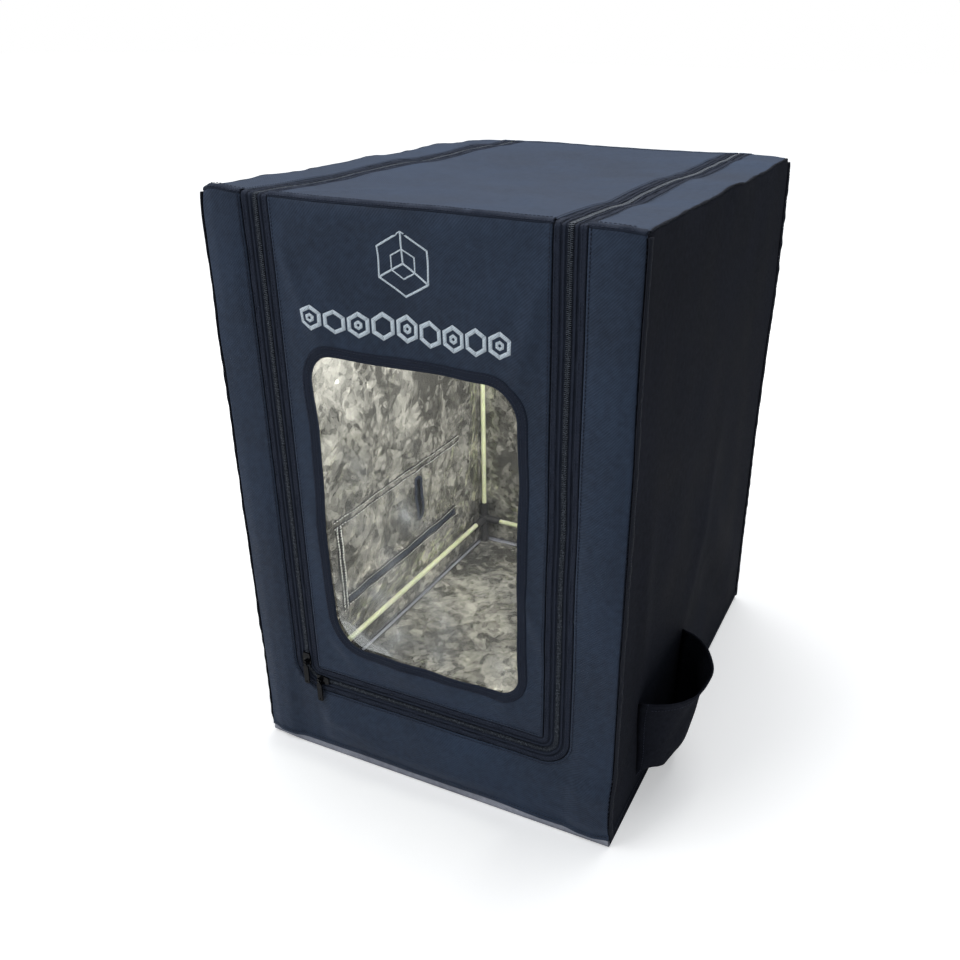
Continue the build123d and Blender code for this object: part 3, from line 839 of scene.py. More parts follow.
OUTER = cloth_material("outer_fabric", (0.013, 0.022, 0.042), (0.033, 0.053, 0.094))
# Painted shade: the same fabric as OUTER, given darker, less blue colours with no sheen and little gloss, as
# the right wall shows in shade; it is used on both side walls and the pieces on them
SHADED_SIDE = cloth_material("side_fabric_shaded", (0.008, 0.009, 0.0135), (0.021, 0.023, 0.033), roughness=0.8, sheen=0.0,
                      gloss=0.05)
TRAY = cloth_material("floor_fabric", (0.24, 0.25, 0.3), (0.52, 0.53, 0.6), twill=1.4 * MM, sheen=0.1)
BAND = tape_material("zip_tape", (0.011, 0.014, 0.024), (0.046, 0.058, 0.09))
BINDING = tape_material("binding_tape", (0.009, 0.012, 0.021), (0.038, 0.049, 0.078), rib=1.1 * MM)
PIPING = tape_material("piping", (0.007, 0.008, 0.0125), (0.03, 0.034, 0.048), rib=1.3 * MM)
WELT = tape_material("fold_welt", (0.010, 0.014, 0.025), (0.046, 0.058, 0.09), rib=1.4 * MM)
FOIL = foil_material()
CLEAR = window_material()
COIL = coil_material()
SLIDER = black_metal_material("slider_metal")
PULL = black_metal_material("pull_metal")
ROD = rod_material()
CONNECTOR = moulded_material("connector_plastic", (0.012, 0.012, 0.014), (0.026, 0.026, 0.03))
HOOK = moulded_material("hook_tape", (0.008, 0.008, 0.009), (0.02, 0.02, 0.022), 1500, 0.6)
LOOP = tape_material("loop_tape", (0.008, 0.008, 0.009), (0.03, 0.03, 0.034), rib=0.7 * MM)
INK = ink_material()
THREAD_DARK = thread_material("thread_dark", (0.012, 0.016, 0.03), (0.04, 0.05, 0.085))
THREAD_GREY = thread_material("thread_grey", (0.55, 0.55, 0.53), (0.85, 0.85, 0.82))


# ---------------------------------------------------------------- fixed panels of the cover


def make_walls():
    upright = edge_lines(HEM, TOP)
    side = flat_grid(edge_lines(-FACE_Y, FACE_Y), upright)
    slotted = flat_grid(edge_lines(-FACE_Y, FACE_Y, keys=SLOT[:2]), edge_lines(HEM, TOP, keys=SLOT[2:]),
                        lambda a, b: -slot_distance(a, b))
    back = flat_grid(edge_lines(-FACE_X, FACE_X), upright)
    add_piece("wall_right_cloth", sheet(side, place_right, 0, CLOTH), SHADED_SIDE, "wall_right")
    add_piece("wall_left_cloth", sheet(slotted, place_left, 0, CLOTH), SHADED_SIDE, "wall_left")
    add_piece("wall_back_cloth", sheet(back, place_back, 0, CLOTH), OUTER, "wall_back")


def cloth_edge(inside):
    """The turned-under edge of a panel: a slightly thicker border with a rounded lip."""
    border = 1 - smooth(inside, 3.4 * MM, 5.2 * MM)
    return 0.55 * MM * border - 0.5 * MM * (1 - smooth(inside, 0, 1.0 * MM))


def make_surround():
    """The fixed cloth of the front and the two strips on top, outside the zip."""

    def outside(a, b):
        return door_distance(a, b, -CLOTH_EDGE)

    inner = ZIP_X + CLOTH_EDGE
    grid = flat_grid(edge_lines(-FACE_X, FACE_X, keys=(-inner, inner)),
                     edge_lines(HEM, TOP, keys=(ZIP_Z - CLOTH_EDGE,)), lambda a, b: -outside(a, b))
    cloth = sheet(grid, place_front, 0, CLOTH, lambda a, b: cloth_edge(outside(a, b)), level)
    add_piece("front_surround_cloth", cloth, OUTER, "front_surround")
    for side, name in ((-1, "left"), (1, "right")):
        grid = flat_grid(edge_lines(*sorted((side * inner, side * FACE_X))), edge_lines(-FACE_Y, FACE_Y))
        cloth = sheet(grid, place_top, 0, CLOTH, lambda a, b: cloth_edge(np.abs(a) - inner), level)
        add_piece(f"top_strip_{name}_cloth", cloth, OUTER, f"top_strip_{name}")


def make_tray():
    """The floor panel. Its edge turns up all round and shows as a paler strip below the hem."""
    grid = flat_grid(edge_lines(-FACE_X, FACE_X, 12 * MM), edge_lines(-FACE_Y, FACE_Y, 12 * MM))
    parts = [sheet(grid, place_floor, 0, CLOTH)]
    rises = lines([0, 1.5 * MM, 3.5 * MM, 6 * MM, HEM], 3 * MM)
    for place, half in SIDES:
        grid = flat_grid(edge_lines(-half, half, 6 * MM), rises)
        parts.append(sheet(grid, place, 0.1 * MM, CLOTH - 0.1 * MM))
    add_piece("floor_tray_cloth", parts[:3], TRAY, "floor_panel")
    add_piece("floor_tray_sides", parts[3:], SHADED_SIDE)


def make_hem():
    """The lower edge of the walls, turned up and sewn over the tray."""
    low, high, seam = HEM - 2.5 * MM, HEM + 8 * MM, HEM + 4.2 * MM

    def roll(a, b):
        t = np.clip((b - low) / (high - low), 0, 1)
        pucker = 1 + 0.35 * waves(a, b * 0.2, 0.022, 61)
        return 1.2 * MM * np.clip(np.sin(math.pi * t), 0, 1) ** 0.5 * pucker

    parts, rows = [], []
    for place, half in SIDES:
        grid = flat_grid(edge_lines(-half, half, 4 * MM), lines([low, high], 1.3 * MM))
        parts.append(sheet(grid, place, 0, -0.05 * MM, roll, level))
        rows.append(stitch_row(place, straight((4 * MM - half, seam), (half - 4 * MM, seam)), -1.35 * MM))
    add_piece("hem", parts[:2], OUTER, "piping_hem")
    add_piece("hem_sides", parts[2:], SHADED_SIDE)
    add_piece("hem_stitches", rows, THREAD_DARK)


def make_corner_seams():
    """Bound seams down the four vertical edges: the binding lies against the side walls and is puckered."""
    parts, rows = [], []
    b = lines([HEM - 3 * MM, TOP - 5 * MM], 3 * MM)
    section = oval(10.0 * MM, 3.4 * MM, 12, 0.5 * MM)
    for place, side_x in ((place_right, 1), (place_left, -1)):
        for side_y in (-1, 1):
            seed = side_x + 3 * side_y
            wander = 0.8 * MM * waves(b, 0 * b, 0.09, 70 + seed)
            flat = np.stack([side_y * (FACE_Y - 5.2 * MM + wander), b], -1)
            line, outward = surface_line(place, flat, -0.3 * MM)
            swell = 1 + 0.3 * waves(b, 0 * b, 0.021, 75 + seed)
            parts.append(tube(line, outward, section * np.stack([0.85 + 0.15 * swell, swell], -1)[:, None]))
            rows.append(stitches((line + outward * 1.9 * MM)[3:-4], outward[3:-4]))
    add_piece("corner_binding", parts, PIPING, "piping_vertical")
    add_piece("corner_binding_stitches", rows, THREAD_DARK)


def make_top_seams():
    """Small rolled seams along the top's side and rear edges."""
    front, beside_zip = 8 * MM - FACE_Y, ZIP_X + 4 * MM
    parts = []
    runs = (
        ((FACE_X, front), (FACE_X, FACE_Y)),
        ((-FACE_X, front), (-FACE_X, FACE_Y)),
        ((-FACE_X, FACE_Y), (-beside_zip, FACE_Y)),
        ((beside_zip, FACE_Y), (FACE_X, FACE_Y)),
    )
    for index, (start, end) in enumerate(runs):
        flat = straight(start, end, 3 * MM)
        run = np.arange(len(flat)) * 3 * MM
        swell = 1 + 0.3 * waves(run, 0 * run, 0.024, 80 + index)
        section = oval(2.6 * MM, 2.2 * MM, 8)
        parts.append(tube(*surface_line(place_top, flat, 0), section * swell[:, None, None]))
    add_piece("top_edge_seams", parts, PIPING, "piping_top")


# ---------------------------------------------------------------- foil lining


def crumple(a, b, seed, height):
    """Depth of crushed foil behind its flat place: wandering sharp creases at four sizes."""
    draw = np.random.default_rng(seed)
    bent_a = a + 16 * MM * waves(a, b, 0.14, seed + 1)
    bent_b = b + 16 * MM * waves(a, b, 0.15, seed + 2)
    total = 0
    for share, size in ((0.4, 0.19), (0.3, 0.09), (0.2, 0.045), (0.1, 0.022)):
        for _ in range(3):
            angle, phase = draw.uniform(0, 2 * math.pi), draw.uniform(0, 1)
            run = (bent_a * math.cos(angle) + bent_b * math.sin(angle)) / size + phase
            total = total + share / 3 * np.abs(2 * (run - np.floor(run + 0.5)))
    return -height * total


def wall_foil(seed, half):
    """Relief of a wall's lining: deep in the middle and shallow behind the rods."""

    def relief(a, b):
        calm = rod_calm(a, b, half, ROD_RING - 20 * MM, TOP)
        return crumple(a, b, seed, 1.2 * MM + 9.8 * MM * calm)

    return relief


def left_foil(a, b):
    """The left wall's lining, drawn flat along the stitching of the cable flap and its strip."""
    low, high = FLAP_LOW, FLAP_HIGH
    across = np.minimum(np.abs(b - high.z - 7 * MM), np.abs(b - low.z - 10 * MM) - 3 * MM)
    along = np.where((b > low.z - 5 * MM) & (b < high.z + 15 * MM), np.abs(a - low.y + 5 * MM), 1.0)
    inside = smooth(a, low.y - 30 * MM, low.y - 14 * MM) * (1 - smooth(a, high.y, high.y + 20 * MM))
    flat = (1 - smooth(np.minimum(across, along), 4 * MM, 12 * MM)) * inside
    deep = smooth(a, low.y, low.y + 30 * MM) * (1 - smooth(a, 80 * MM, 95 * MM))
    deep = deep * smooth(b, low.z + 20 * MM, low.z + 40 * MM) * (1 - smooth(b, high.z - 20 * MM, high.z))
    return wall_foil(101, FACE_Y)(a, b) * (1 - 0.15 * flat) * (1 + 0.4 * deep)


def floor_foil(a, b):
    calm = smooth(np.minimum(FACE_X - np.abs(a), FACE_Y - np.abs(b)), 22 * MM, 50 * MM)
    return crumple(a, b, 131, 7 * MM) * (0.25 + 0.75 * calm)


def make_linings():
    """Crushed foil inside every panel of the cover."""
    low, high = 6 * MM, TOP - 2.9 * MM
    end_y, end_x = FACE_Y - 3 * MM, FACE_X - 3 * MM

    def lining(name, grid, place, relief, depth=LINING_DEPTH):
        add_piece(f"lining_{name}_foil", sheet(grid, place, depth, LINING, relief), FOIL, f"lining_{name}")

    upright = lines([low, high], FOIL_STEP)
    slotted = flat_grid(lines([-end_y, *SLOT[:2], end_y], FOIL_STEP),
                        lines([low, *SLOT[2:], high], FOIL_STEP), lambda a, b: -slot_distance(a, b))
    right, back = [flat_grid(lines([-end, end], FOIL_STEP), upright) for end in (end_y, end_x)]
    lining("left", slotted, place_left, left_foil)
    lining("right", right, place_right, wall_foil(111, FACE_Y))
    lining("back", back, place_back, wall_foil(121, FACE_X))
    floor = [lines([8 * MM - face, face - 8 * MM], FOIL_STEP) for face in (FACE_X, FACE_Y)]
    lining("floor", flat_grid(*floor), place_floor, floor_foil, 1.5 * MM)

    inner = ZIP_X + LINING_MARGIN
    front = flat_grid(lines([-end_x, -inner, inner, end_x]), lines([low, ZIP_Z - LINING_MARGIN, high]),
                      lambda a, b: -door_distance(a, b, -LINING_MARGIN))
    lining("front", front, place_front, lambda a, b: crumple(a, b, 141, 1.3 * MM))
    strips = [
        sheet(flat_grid(lines(ends), lines([-end_y, end_y])), place_top, LINING_DEPTH, LINING,
              lambda a, b: crumple(a, b, 151, 1.3 * MM))
        for ends in ((-end_x, -inner), (inner, end_x))
    ]
    add_piece("lining_top_strips_foil", strips, FOIL, "lining_top_strips")


# ---------------------------------------------------------------- the opening panel: front and top in one


OVER_END = TOP + 2 * FACE_Y - 1.0 * MM  # b at the rear edge of the top


def over_fold(piece):
    """For a piece that runs across the fold between the top and the front: it only bakes the piece's
    transform, and fastens it to no body.
    """
    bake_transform(piece)


def over_rear(piece):
    """For a piece that runs across the rear edge, from the top to the back: it only bakes the piece's
    transform, and fastens it to no body.
    """
    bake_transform(piece)


def fold_lines(low, high, step=STEP):
    """Grid lines up the front and along the top, close together at the fold."""
    near = [TOP + o * MM for o in (-8, -6, -4.5, -3, -1.5, 0, 1.5, 3, 4.5, 6, 8, 10)]
    return lines([low, high, *[k for k in near if low < k < high]], step)


def panel_grid(inset, a_lines, b_lines):
    """The opening panel's grid, inside the zip line by `inset` and around the window."""
    return flat_grid(a_lines, b_lines,
                     lambda a, b: np.maximum(door_distance(a, b, inset), -window_distance(a, b)))


def make_door():
    """Cloth and lining of the opening panel."""
    edge, low = ZIP_X - CLOTH_EDGE, ZIP_Z + CLOTH_EDGE
    near = [edge, edge - 1.2 * MM, edge - 4 * MM]
    a_lines = lines([-k for k in near] + [*WINDOW[:2]] + near)
    b_lines = lines([*fold_lines(low, OVER_END), *WINDOW[2:], low + 1.2 * MM])
    cloth = sheet(panel_grid(CLOTH_EDGE, a_lines, b_lines), place_over, 0, CLOTH,
                  lambda a, b: cloth_edge(-door_distance(a, b, CLOTH_EDGE)), level)
    add_piece("door_cloth", cloth, OUTER, "front_flap top_flap", over_fold)

    inner = ZIP_X - LINING_MARGIN
    b_lines = lines([*fold_lines(ZIP_Z + LINING_MARGIN, OVER_END - 4 * MM), *WINDOW[2:]])

    def relief(a, b):
        calm = smooth(np.abs(b - TOP), 20 * MM, 50 * MM) * smooth(window_distance(a, b), 4 * MM, 24 * MM)
        return crumple(a, b, 161, 1.0 * MM + 2.4 * MM * calm)

    grid = panel_grid(LINING_MARGIN, lines([-inner, *WINDOW[:2], inner]), b_lines)
    foil = sheet(grid, place_over, LINING_DEPTH, LINING, relief)
    add_piece("door_lining_foil", foil, FOIL, "front_flap_lining top_flap_lining", over_fold)


def make_fold_welt():
    """The stitched welt along the front top edge, on the opening panel and on both fixed strips."""
    low, high = TOP - 2.5 * MM, TOP + 9 * MM
    edge, inner, row_end = ZIP_X - CLOTH_EDGE, ZIP_X + CLOTH_EDGE, FACE_X - 14 * MM

    def relief(a, b):
        t = np.clip((b - low) / (high - low), 0, 1)
        pucker = 1 + 0.32 * waves(a, b, 0.017, 171) + 0.3 * waves(a, b * 0.3, 0.06, 172)
        return 2.1 * MM * np.sin(math.pi * np.clip(t, 0.02, 0.98)) ** 0.45 * pucker

    for name, a0, a1, body, node in (
        ("door", -edge, edge, over_fold, "piping_fold"),
        ("left", -FACE_X, -inner, "cover", ""),
        ("right", inner, FACE_X, "cover", ""),
    ):
        grid = flat_grid(edge_lines(a0, a1, 3 * MM), lines([low, high], 0.9 * MM))
        add_piece(f"welt_{name}", sheet(grid, place_over, 0, 0.3 * MM, relief, level), WELT, node, body)
        start, end = max(a0, -row_end), min(a1, row_end)
        rows = [stitch_row(place_over, straight((start, b), (end, b)), depth)
                for b, depth in ((TOP - 0.6 * MM, -2.0 * MM), (TOP + 7.6 * MM, -1.9 * MM))]
        add_piece(f"welt_{name}_stitches", rows, THREAD_DARK, body=body)


def make_rear_fold():
    """The cloth that joins the opening panel to the back, and the ends of the zip bands beside it."""
    drop = 9 * MM
    b_lines = lines([FACE_Y + o for o in (-drop, -4 * MM, 0, 4 * MM, drop)], 1.2 * MM)

    def relief(a, b):
        t = np.clip((b - FACE_Y + drop) / (2 * drop), 0, 1)
        return 1.3 * MM * np.sin(math.pi * np.clip(t, 0.04, 0.96)) ** 0.5 * (1 + 0.2 * waves(a, b, 0.02, 181))

    def strip(name, a0, a1, step, body):
        grid = flat_grid(lines([a0, a1], step), b_lines)
        add_piece(name, sheet(grid, place_rear, 0, 0.2 * MM, relief, level), OUTER, body=body)

    half, near, far = ZIP_X - 1 * MM, ZIP_X + 1 * MM, ZIP_X + CLOTH_EDGE + 1 * MM
    strip("rear_fold_cloth", -half, half, STEP, over_rear)
    strip("rear_tab_left", -far, -near, 3 * MM, "cover")
    strip("rear_tab_right", near, far, 3 * MM, "cover")


# ---------------------------------------------------------------- zip


# Grid lines across a zip band, in mm from the zip's line
BAND_OFFSETS = (0.03, 3.3, 4.2, 4.5, 4.8, 5.2, 5.9, 6.6, 7.0, 7.3, 7.6, 9.0, 9.3, 9.6, 10, 11.5, 13.4, 15.2,
                15.6, 15.9, 16.2, 19)


def zip_line(step=4 * MM):
    """The zip's line in the over-the-top sheet, from the rear left down, across and back to the rear right,
    with the direction away from the opening panel."""
    r = ZIP_CORNER
    left = [(-ZIP_X, b, -1.0, 0.0) for b in fold_lines(ZIP_Z + r, TOP + ZIP_REAR + FACE_Y, step)[::-1]]
    for t in np.linspace(math.pi, 1.5 * math.pi, 15)[1:]:
        left.append((-ZIP_X + r + r * math.cos(t), ZIP_Z + r + r * math.sin(t), math.cos(t), math.sin(t)))
    run = [(a, ZIP_Z, 0.0, -1.0) for a in lines([-ZIP_X + r, ZIP_X - r], step)[1:-1]]
    right = [(-a, b, -out_a, out_b) for a, b, out_a, out_b in left[::-1]]
    table = np.array(left + run + right)
    return table[:, :2], table[:, 2:]


def zip_band(sign):
    """Tape along the zip, with a bead beside the teeth and then a padded strip. sign is 1 on the fixed side
    and -1 on the opening panel."""
    line, out = zip_line()
    offsets = np.array(BAND_OFFSETS) * MM
    flat = (line[:, None] + sign * out[:, None] * offsets[None, :, None]).reshape(-1, 2)
    bead = 1.5 * MM * smooth(offsets, 4.2 * MM, 5.2 * MM) * (1 - smooth(offsets, 6.6 * MM, 7.6 * MM))
    strip = 1.35 * MM * smooth(offsets, 9.0 * MM, 10.0 * MM) * (1 - smooth(offsets, 15.2 * MM, 16.2 * MM))
    relief = np.tile(bead + strip, len(line)) * (1 + 0.25 * waves(*flat.T, 0.02, 191))
    outer = slacken(place_over(flat, TAPE_DEPTH - relief))
    inner = slacken(place_over(flat, TAPE_DEPTH + 0.6 * MM))
    return shell(outer, inner, strip_quads(np.arange(len(flat)).reshape(len(line), -1)))


def zip_teeth(sign):
    """A coil's loops as rounded bars across one half of the teeth."""
    flat, out = zip_line(2 * MM)
    line, up = surface_line(place_over, flat, TEETH_DEPTH)
    away, _ = surface_line(place_over, flat + sign * out * MM, TEETH_DEPTH)
    at = resample(line, TOOTH_PITCH)
    at = at[2:-2] + (0.5 if sign > 0 else 0.0) * (at[1] - at[0])
    up, across = unit(pick(up, at)), unit(pick(away - line, at))
    corners = ((-0.62, -0.9), (-0.62, -0.25), (-0.34, 0.1), (0.34, 0.1), (0.62, -0.25), (0.62, -0.9))
    rings = [
        [(reach * MM, run * width * MM, height * tall * MM) for run, height in corners]
        for reach, width, tall in ((-0.55, 0.5, 0.7), (-0.2, 0.95, 1.0), (2.0, 0.85, 1.0), (2.8, 0.55, 0.6))
    ]
    return bars(pick(line, at), across, unit(np.cross(across, up)), up, rings)


def zip_stitches(sign):
    """Two rows along the zip band and one along the cloth's turned edge."""
    line, out = zip_line()
    on_band = TAPE_DEPTH - 1.4 * MM
    return [stitch_row(place_over, line + sign * out * offset * MM, depth)
            for offset, depth in ((10.9, on_band), (14.3, on_band), (19.2, -0.6 * MM))]


def make_zip():
    for sign, side, body, tapes, teeth in (
        (1, "fixed", "cover", "zip_tape_fixed", "zip_teeth_fixed"),
        (-1, "door", over_fold, "zip_tape_front zip_tape_top", "zip_teeth_front zip_teeth_top"),
    ):
        add_piece(f"zip_band_{side}", zip_band(sign), BAND, tapes, body)
        add_piece(f"zip_coil_{side}", zip_teeth(sign), COIL, teeth, body)
        add_piece(f"zip_stitches_{side}", zip_stitches(sign), THREAD_DARK, body=body)


# ---------------------------------------------------------------- window


def window_loop(margin):
    """The window's outline as a closed line, moved outwards by margin, with its outward direction."""
    a0, a1, b0, b1 = WINDOW
    corners = ((a0, b0, 1, 1, 2), (a1, b0, -1, 1, 3), (a1, b1, -1, -1, 0), (a0, b1, 1, -1, 1))
    points, out = [], []
    for (a, b, in_a, in_b, quarter), radius in zip(corners, WINDOW_CORNERS):
        for t in np.linspace(quarter * math.pi / 2, (quarter + 1) * math.pi / 2, 13):
            way = np.array([math.cos(t), math.sin(t)])
            points.append(np.array([a + in_a * radius, b + in_b * radius]) + way * (radius + margin))
            out.append(way)
    points, out = np.array(points), np.array(out)
    at = resample(points, 3 * MM, closed=True)
    return pick(points, at), unit(pick(out, at))


def make_window():
    """The clear sheet, and a bound edge around it with two rows of stitches."""
    grid = flat_grid(lines([PANE_LOW.x, PANE_HIGH.x], 6 * MM), lines([PANE_LOW.z, PANE_HIGH.z], 6 * MM),
                     lambda a, b: window_distance(a, b, 8 * MM))
    vinyl = sheet(grid, place_front, 1.6 * MM, 0.5 * MM, lambda a, b: 0.35 * MM * waves(a, b, 0.06, 201))
    add_piece("window_vinyl", vinyl, CLEAR, "window_pane", "front_flap")

    # section of the binding: places across it and heights above the cloth, in mm
    offsets = np.array([-2.6, -2.2, -1.2, 0, 1.5, 3, 4.5, 6, 7.6, 8.6, 9.0]) * MM
    heights = np.array([0.1, 0.7, 1.15, 1.2, 0.95, 1.2, 1.2, 0.95, 1.15, 0.7, 0.1]) * MM
    line, out = window_loop(0)
    flat = (line[:, None] + out[:, None] * offsets[None, :, None]).reshape(-1, 2)
    index = np.arange(len(flat)).reshape(len(line), -1)
    quads = strip_quads(np.vstack([index, index[:1]]))
    rise = np.tile(heights, len(line)) * (1 + 0.22 * waves(*flat.T, 0.018, 203))
    under = np.tile(np.where(offsets < 0, 0.9, -0.05), len(line)) * MM
    binding = shell(slacken(place_front(flat, -rise)), slacken(place_front(flat, under)), quads)
    add_piece("window_binding_tape", binding, BINDING, "window_binding", "front_flap")
    rows = [stitch_row(place_front, window_loop(m * MM)[0], -1.05 * MM, True, 2.4 * MM) for m in (1.5, 7.0)]
    add_piece("window_stitches", rows, THREAD_DARK, body="front_flap")


# ---------------------------------------------------------------- printed decoration


def ink_strip(points, width, closed=True):
    """A printed line of even width through corners in the front's plane."""
    points = np.array(points, float)
    ahead = np.roll(points, -1, axis=0) - points
    back = points - np.roll(points, 1, axis=0)
    if not closed:
        ahead[-1], back[0] = back[-1], ahead[0]
    ahead, back = unit(ahead), unit(back)
    quarter_turn = np.array([[0, 1], [-1, 0]])
    normal = unit(unit(ahead + back) @ quarter_turn)
    cosine = np.clip(np.sum(normal * (ahead @ quarter_turn), axis=1), 0.3, 1)
    offset = normal * (width / 2 / cosine)[:, None]
    edges = np.stack([points - offset, points + offset], 1)
    parts = []
    for start in range(len(points) if closed else len(points) - 1):
        end = (start + 1) % len(points)
        count = max(1, int(np.linalg.norm(points[end] - points[start]) / (3 * MM)))
        t = np.linspace(0, 1, count + 1)[:, None, None]
        flat = (edges[start] * (1 - t) + edges[end] * t).reshape(-1, 2)
        quads = strip_quads(np.arange(len(flat)).reshape(-1, 2))
        parts.append(sheet((flat, quads), place_front, -0.16 * MM, 0.14 * MM))
    return join_parts(parts)


def hexagon(middle, radius):
    turn = math.pi / 6 + np.arange(6) * math.pi / 3
    return np.array(middle) + radius * np.stack([np.cos(turn), np.sin(turn)], -1)


def make_print():
    """A plain cube in outline, and below it a row of hexagons."""
    middle = np.array([-2 * MM, 645 * MM])
    outline, thick = hexagon(middle, 32 * MM), 2.0 * MM
    parts = [ink_strip(outline, thick)]
    parts += [ink_strip([middle, middle + 0.98 * (outline[k] - middle)], thick, False) for k in (1, 3, 5)]
    parts.append(ink_strip(hexagon(middle, 15 * MM), 1.5 * MM))
    add_piece("print_cube", parts, INK, body="front_flap")

    parts = []
    row_z, row_start, row_end = 582 * MM, -110 * MM, 103 * MM
    for i, x in enumerate(np.linspace(row_start, row_end, 9)):
        parts.append(ink_strip(hexagon((x, row_z), 11.6 * MM), 4.2 * MM))
        if i % 2 == 0:
            parts.append(ink_strip(hexagon((x, row_z), 3.4 * MM), 3.0 * MM))
    add_piece("print_hexagons", parts, INK, body="front_flap")


# ---------------------------------------------------------------- pocket


def make_pocket():
    """A patch pocket on the right wall that bags out at the mouth and sags at the bottom."""
    low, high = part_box("pocket_right")
    columns, rows = 61, 41
    # u runs across, from -1 to 1, and v down from the mouth, from 0 to 1
    u, v = np.meshgrid(np.linspace(-1, 1, columns), np.linspace(0, 1, rows), indexing="ij")
    u, v = u.ravel(), v.ravel()
    half = (high.y - low.y) / 2 * (1 - 0.1 * v)
    belly = np.clip(1 - np.abs(u) ** 2.0, 0, 1) ** 0.62
    reach = (high.x - FACE_X) * (1 - v) ** 0.9
    reach = reach + 20 * MM * smooth(v, 0.1, 0.85) * (1 - 0.9 * smooth(v, 0.9, 1.0))
    skew = 0.036 * np.sin(math.pi * u) * (1 - v)
    y = (low.y + high.y) / 2 + half * (u + skew)
    drop = (5 * MM * np.cos(u * math.pi / 2) + 1.5 * MM * waves(u * 0.05, v * 0.05, 0.05, 211)) * (1 - v)
    bottom = 22 * MM * smooth(np.cos((u - 0.12) * math.pi / 2), 0, 0.9) * smooth(v, 0.55, 0.93)
    z = high.z + (low.z - high.z) * v - drop - bottom
    creases = 2.6 * MM * np.sin(u * 7.0 + 1.2 * np.sin(v * 3)) * smooth(v, 0.05, 0.6) * belly
    creases = creases + 1.6 * MM * waves(u * 0.08, v * 0.11, 0.05, 212) * belly
    x = FACE_X - 0.5 * MM + right_sag(y, z) + reach * belly + creases * (1 - 0.8 * smooth(v, 0.9, 1))
    outer = np.stack([x, y, z], -1)

    grid = outer.reshape(columns, rows, 3)
    normal = unit(np.cross(np.gradient(grid, axis=0), np.gradient(grid, axis=1))).reshape(-1, 3)
    normal *= np.where(normal[:, :1] < 0, -1, 1)
    hem = 1 - smooth(v, 0.085, 0.1)
    outer = outer + normal * (0.6 * MM * hem)[:, None]
    inner = outer - normal * ((1.3 + 0.6 * hem) * MM)[:, None]
    quads = strip_quads(np.arange(columns * rows).reshape(columns, rows))
    add_piece("pocket_cloth", shell(outer, inner, quads), SHADED_SIDE, "pocket_right")

    grid, normal = outer.reshape(columns, rows, 3), normal.reshape(columns, rows, 3)
    seams = (np.s_[2:-2, 3], np.s_[1], np.s_[columns - 2], np.s_[2:-2, rows - 2])
    sewn = [stitches(grid[at] + normal[at] * 0.15 * MM, normal[at]) for at in seams]
    add_piece("pocket_stitches", sewn, THREAD_DARK)


# ---------------------------------------------------------------- cable port


def make_cable_flap():
    """The flap over the cable slot and the band it hangs from."""
    low, high = FLAP_LOW, FLAP_HIGH
    thickness = high.x - low.x
    depth = -FACE_X - high.x - thickness  # of the flap's outer face, negative outwards

    def curl(a, b):
        t = (high.z - b) / (high.z - low.z)
        ripple = 0.5 * waves(a, b, 0.09, 221) + 1.6 * waves(a * 0.7, 0 * b, 0.13, 222) * t
        return MM * np.maximum(1.9 + ripple, 0) * smooth(t, 0.0, 0.25)

    def border(a, b):
        return curl(a, b) + cloth_edge(np.minimum(np.minimum(a - low.y, high.y - a), b - low.z))

    grid = flat_grid(edge_lines(low.y, high.y), edge_lines(low.z, high.z))
    cloth = sheet(grid, place_left, depth, thickness, border, curl)
    add_piece("cable_flap_cloth", cloth, SHADED_SIDE, "cable_flap", "cable_flap")
    inset, below_band = 4 * MM, high.z - 2 * MM
    rim = [(low.y + inset, below_band), (low.y + inset, low.z + inset),
           (high.y - inset, low.z + inset), (high.y - inset, below_band)]
    rows = []
    for start, end in zip(rim, rim[1:]):
        flat = straight(start, end)
        rows.append(stitch_row(place_left, flat, depth - border(*flat.T) - 0.1 * MM))
    add_piece("cable_flap_stitches", rows, THREAD_DARK, body="cable_flap")

    band_low, band_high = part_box("cable_flap_band")
    foot = high.z + 1.0 * MM

    def roll(a, b):
        t = np.clip((b - foot) / (band_high.z + 1 * MM - high.z), 0, 1)
        return (0.9 + 0.9 * np.sin(math.pi * t) ** 0.5 * (1 + 0.15 * waves(a, b, 0.02, 225))) * MM

    grid = flat_grid(edge_lines(band_low.y, band_high.y, 3 * MM),
                     lines([foot, band_high.z + 2 * MM], 1.5 * MM))
    band = sheet(grid, place_left, 0, 0.2 * MM, roll, level)
    add_piece("cable_flap_band_cloth", band, SHADED_SIDE, "cable_flap_band")
    start, end = band_low.y + 2 * MM, band_high.y - 2 * MM
    rows = [stitch_row(place_left, straight((start, z), (end, z)), -1.9 * MM)
            for z in (high.z + 4 * MM, band_high.z - 1 * MM)]
    add_piece("cable_band_stitches", rows, THREAD_DARK)


def make_fastening_strips():
    """Hook tape on the wall and loop tape on the flap, both with raised rows."""

    def nap(a, b):
        return 0.12 * MM * (1 + np.sin(a / (2 * MM) * math.pi) * np.sin(b / (2 * MM) * math.pi))

    for kind, material, body in (("hook", HOOK, "cover"), ("loop", LOOP, "cable_flap")):
        low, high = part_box(f"cable_{kind}_strip")
        thickness = high.x - low.x
        depth = -FACE_X - high.x - thickness + 0.15 * MM
        grid = flat_grid(lines([low.y, high.y], 2 * MM), lines([low.z, high.z], 1.0 * MM))
        tape = sheet(grid, place_left, depth, thickness - 0.2 * MM, nap, level)
        add_piece(f"cable_{kind}_tape", tape, material, f"cable_{kind}_strip", body)


def on_left_foil(flat, stand):
    """Places on the inner face of the left wall's foil, standing off it."""
    return slacken(place_left(flat, LINING_DEPTH + LINING - left_foil(*flat.T) + stand))


def foil_patch(flat, quads, stand, sunk):
    """A strip lying on the left wall's foil, its back sunk into the foil."""
    return shell(on_left_foil(flat, stand), on_left_foil(flat, -sunk), quads)


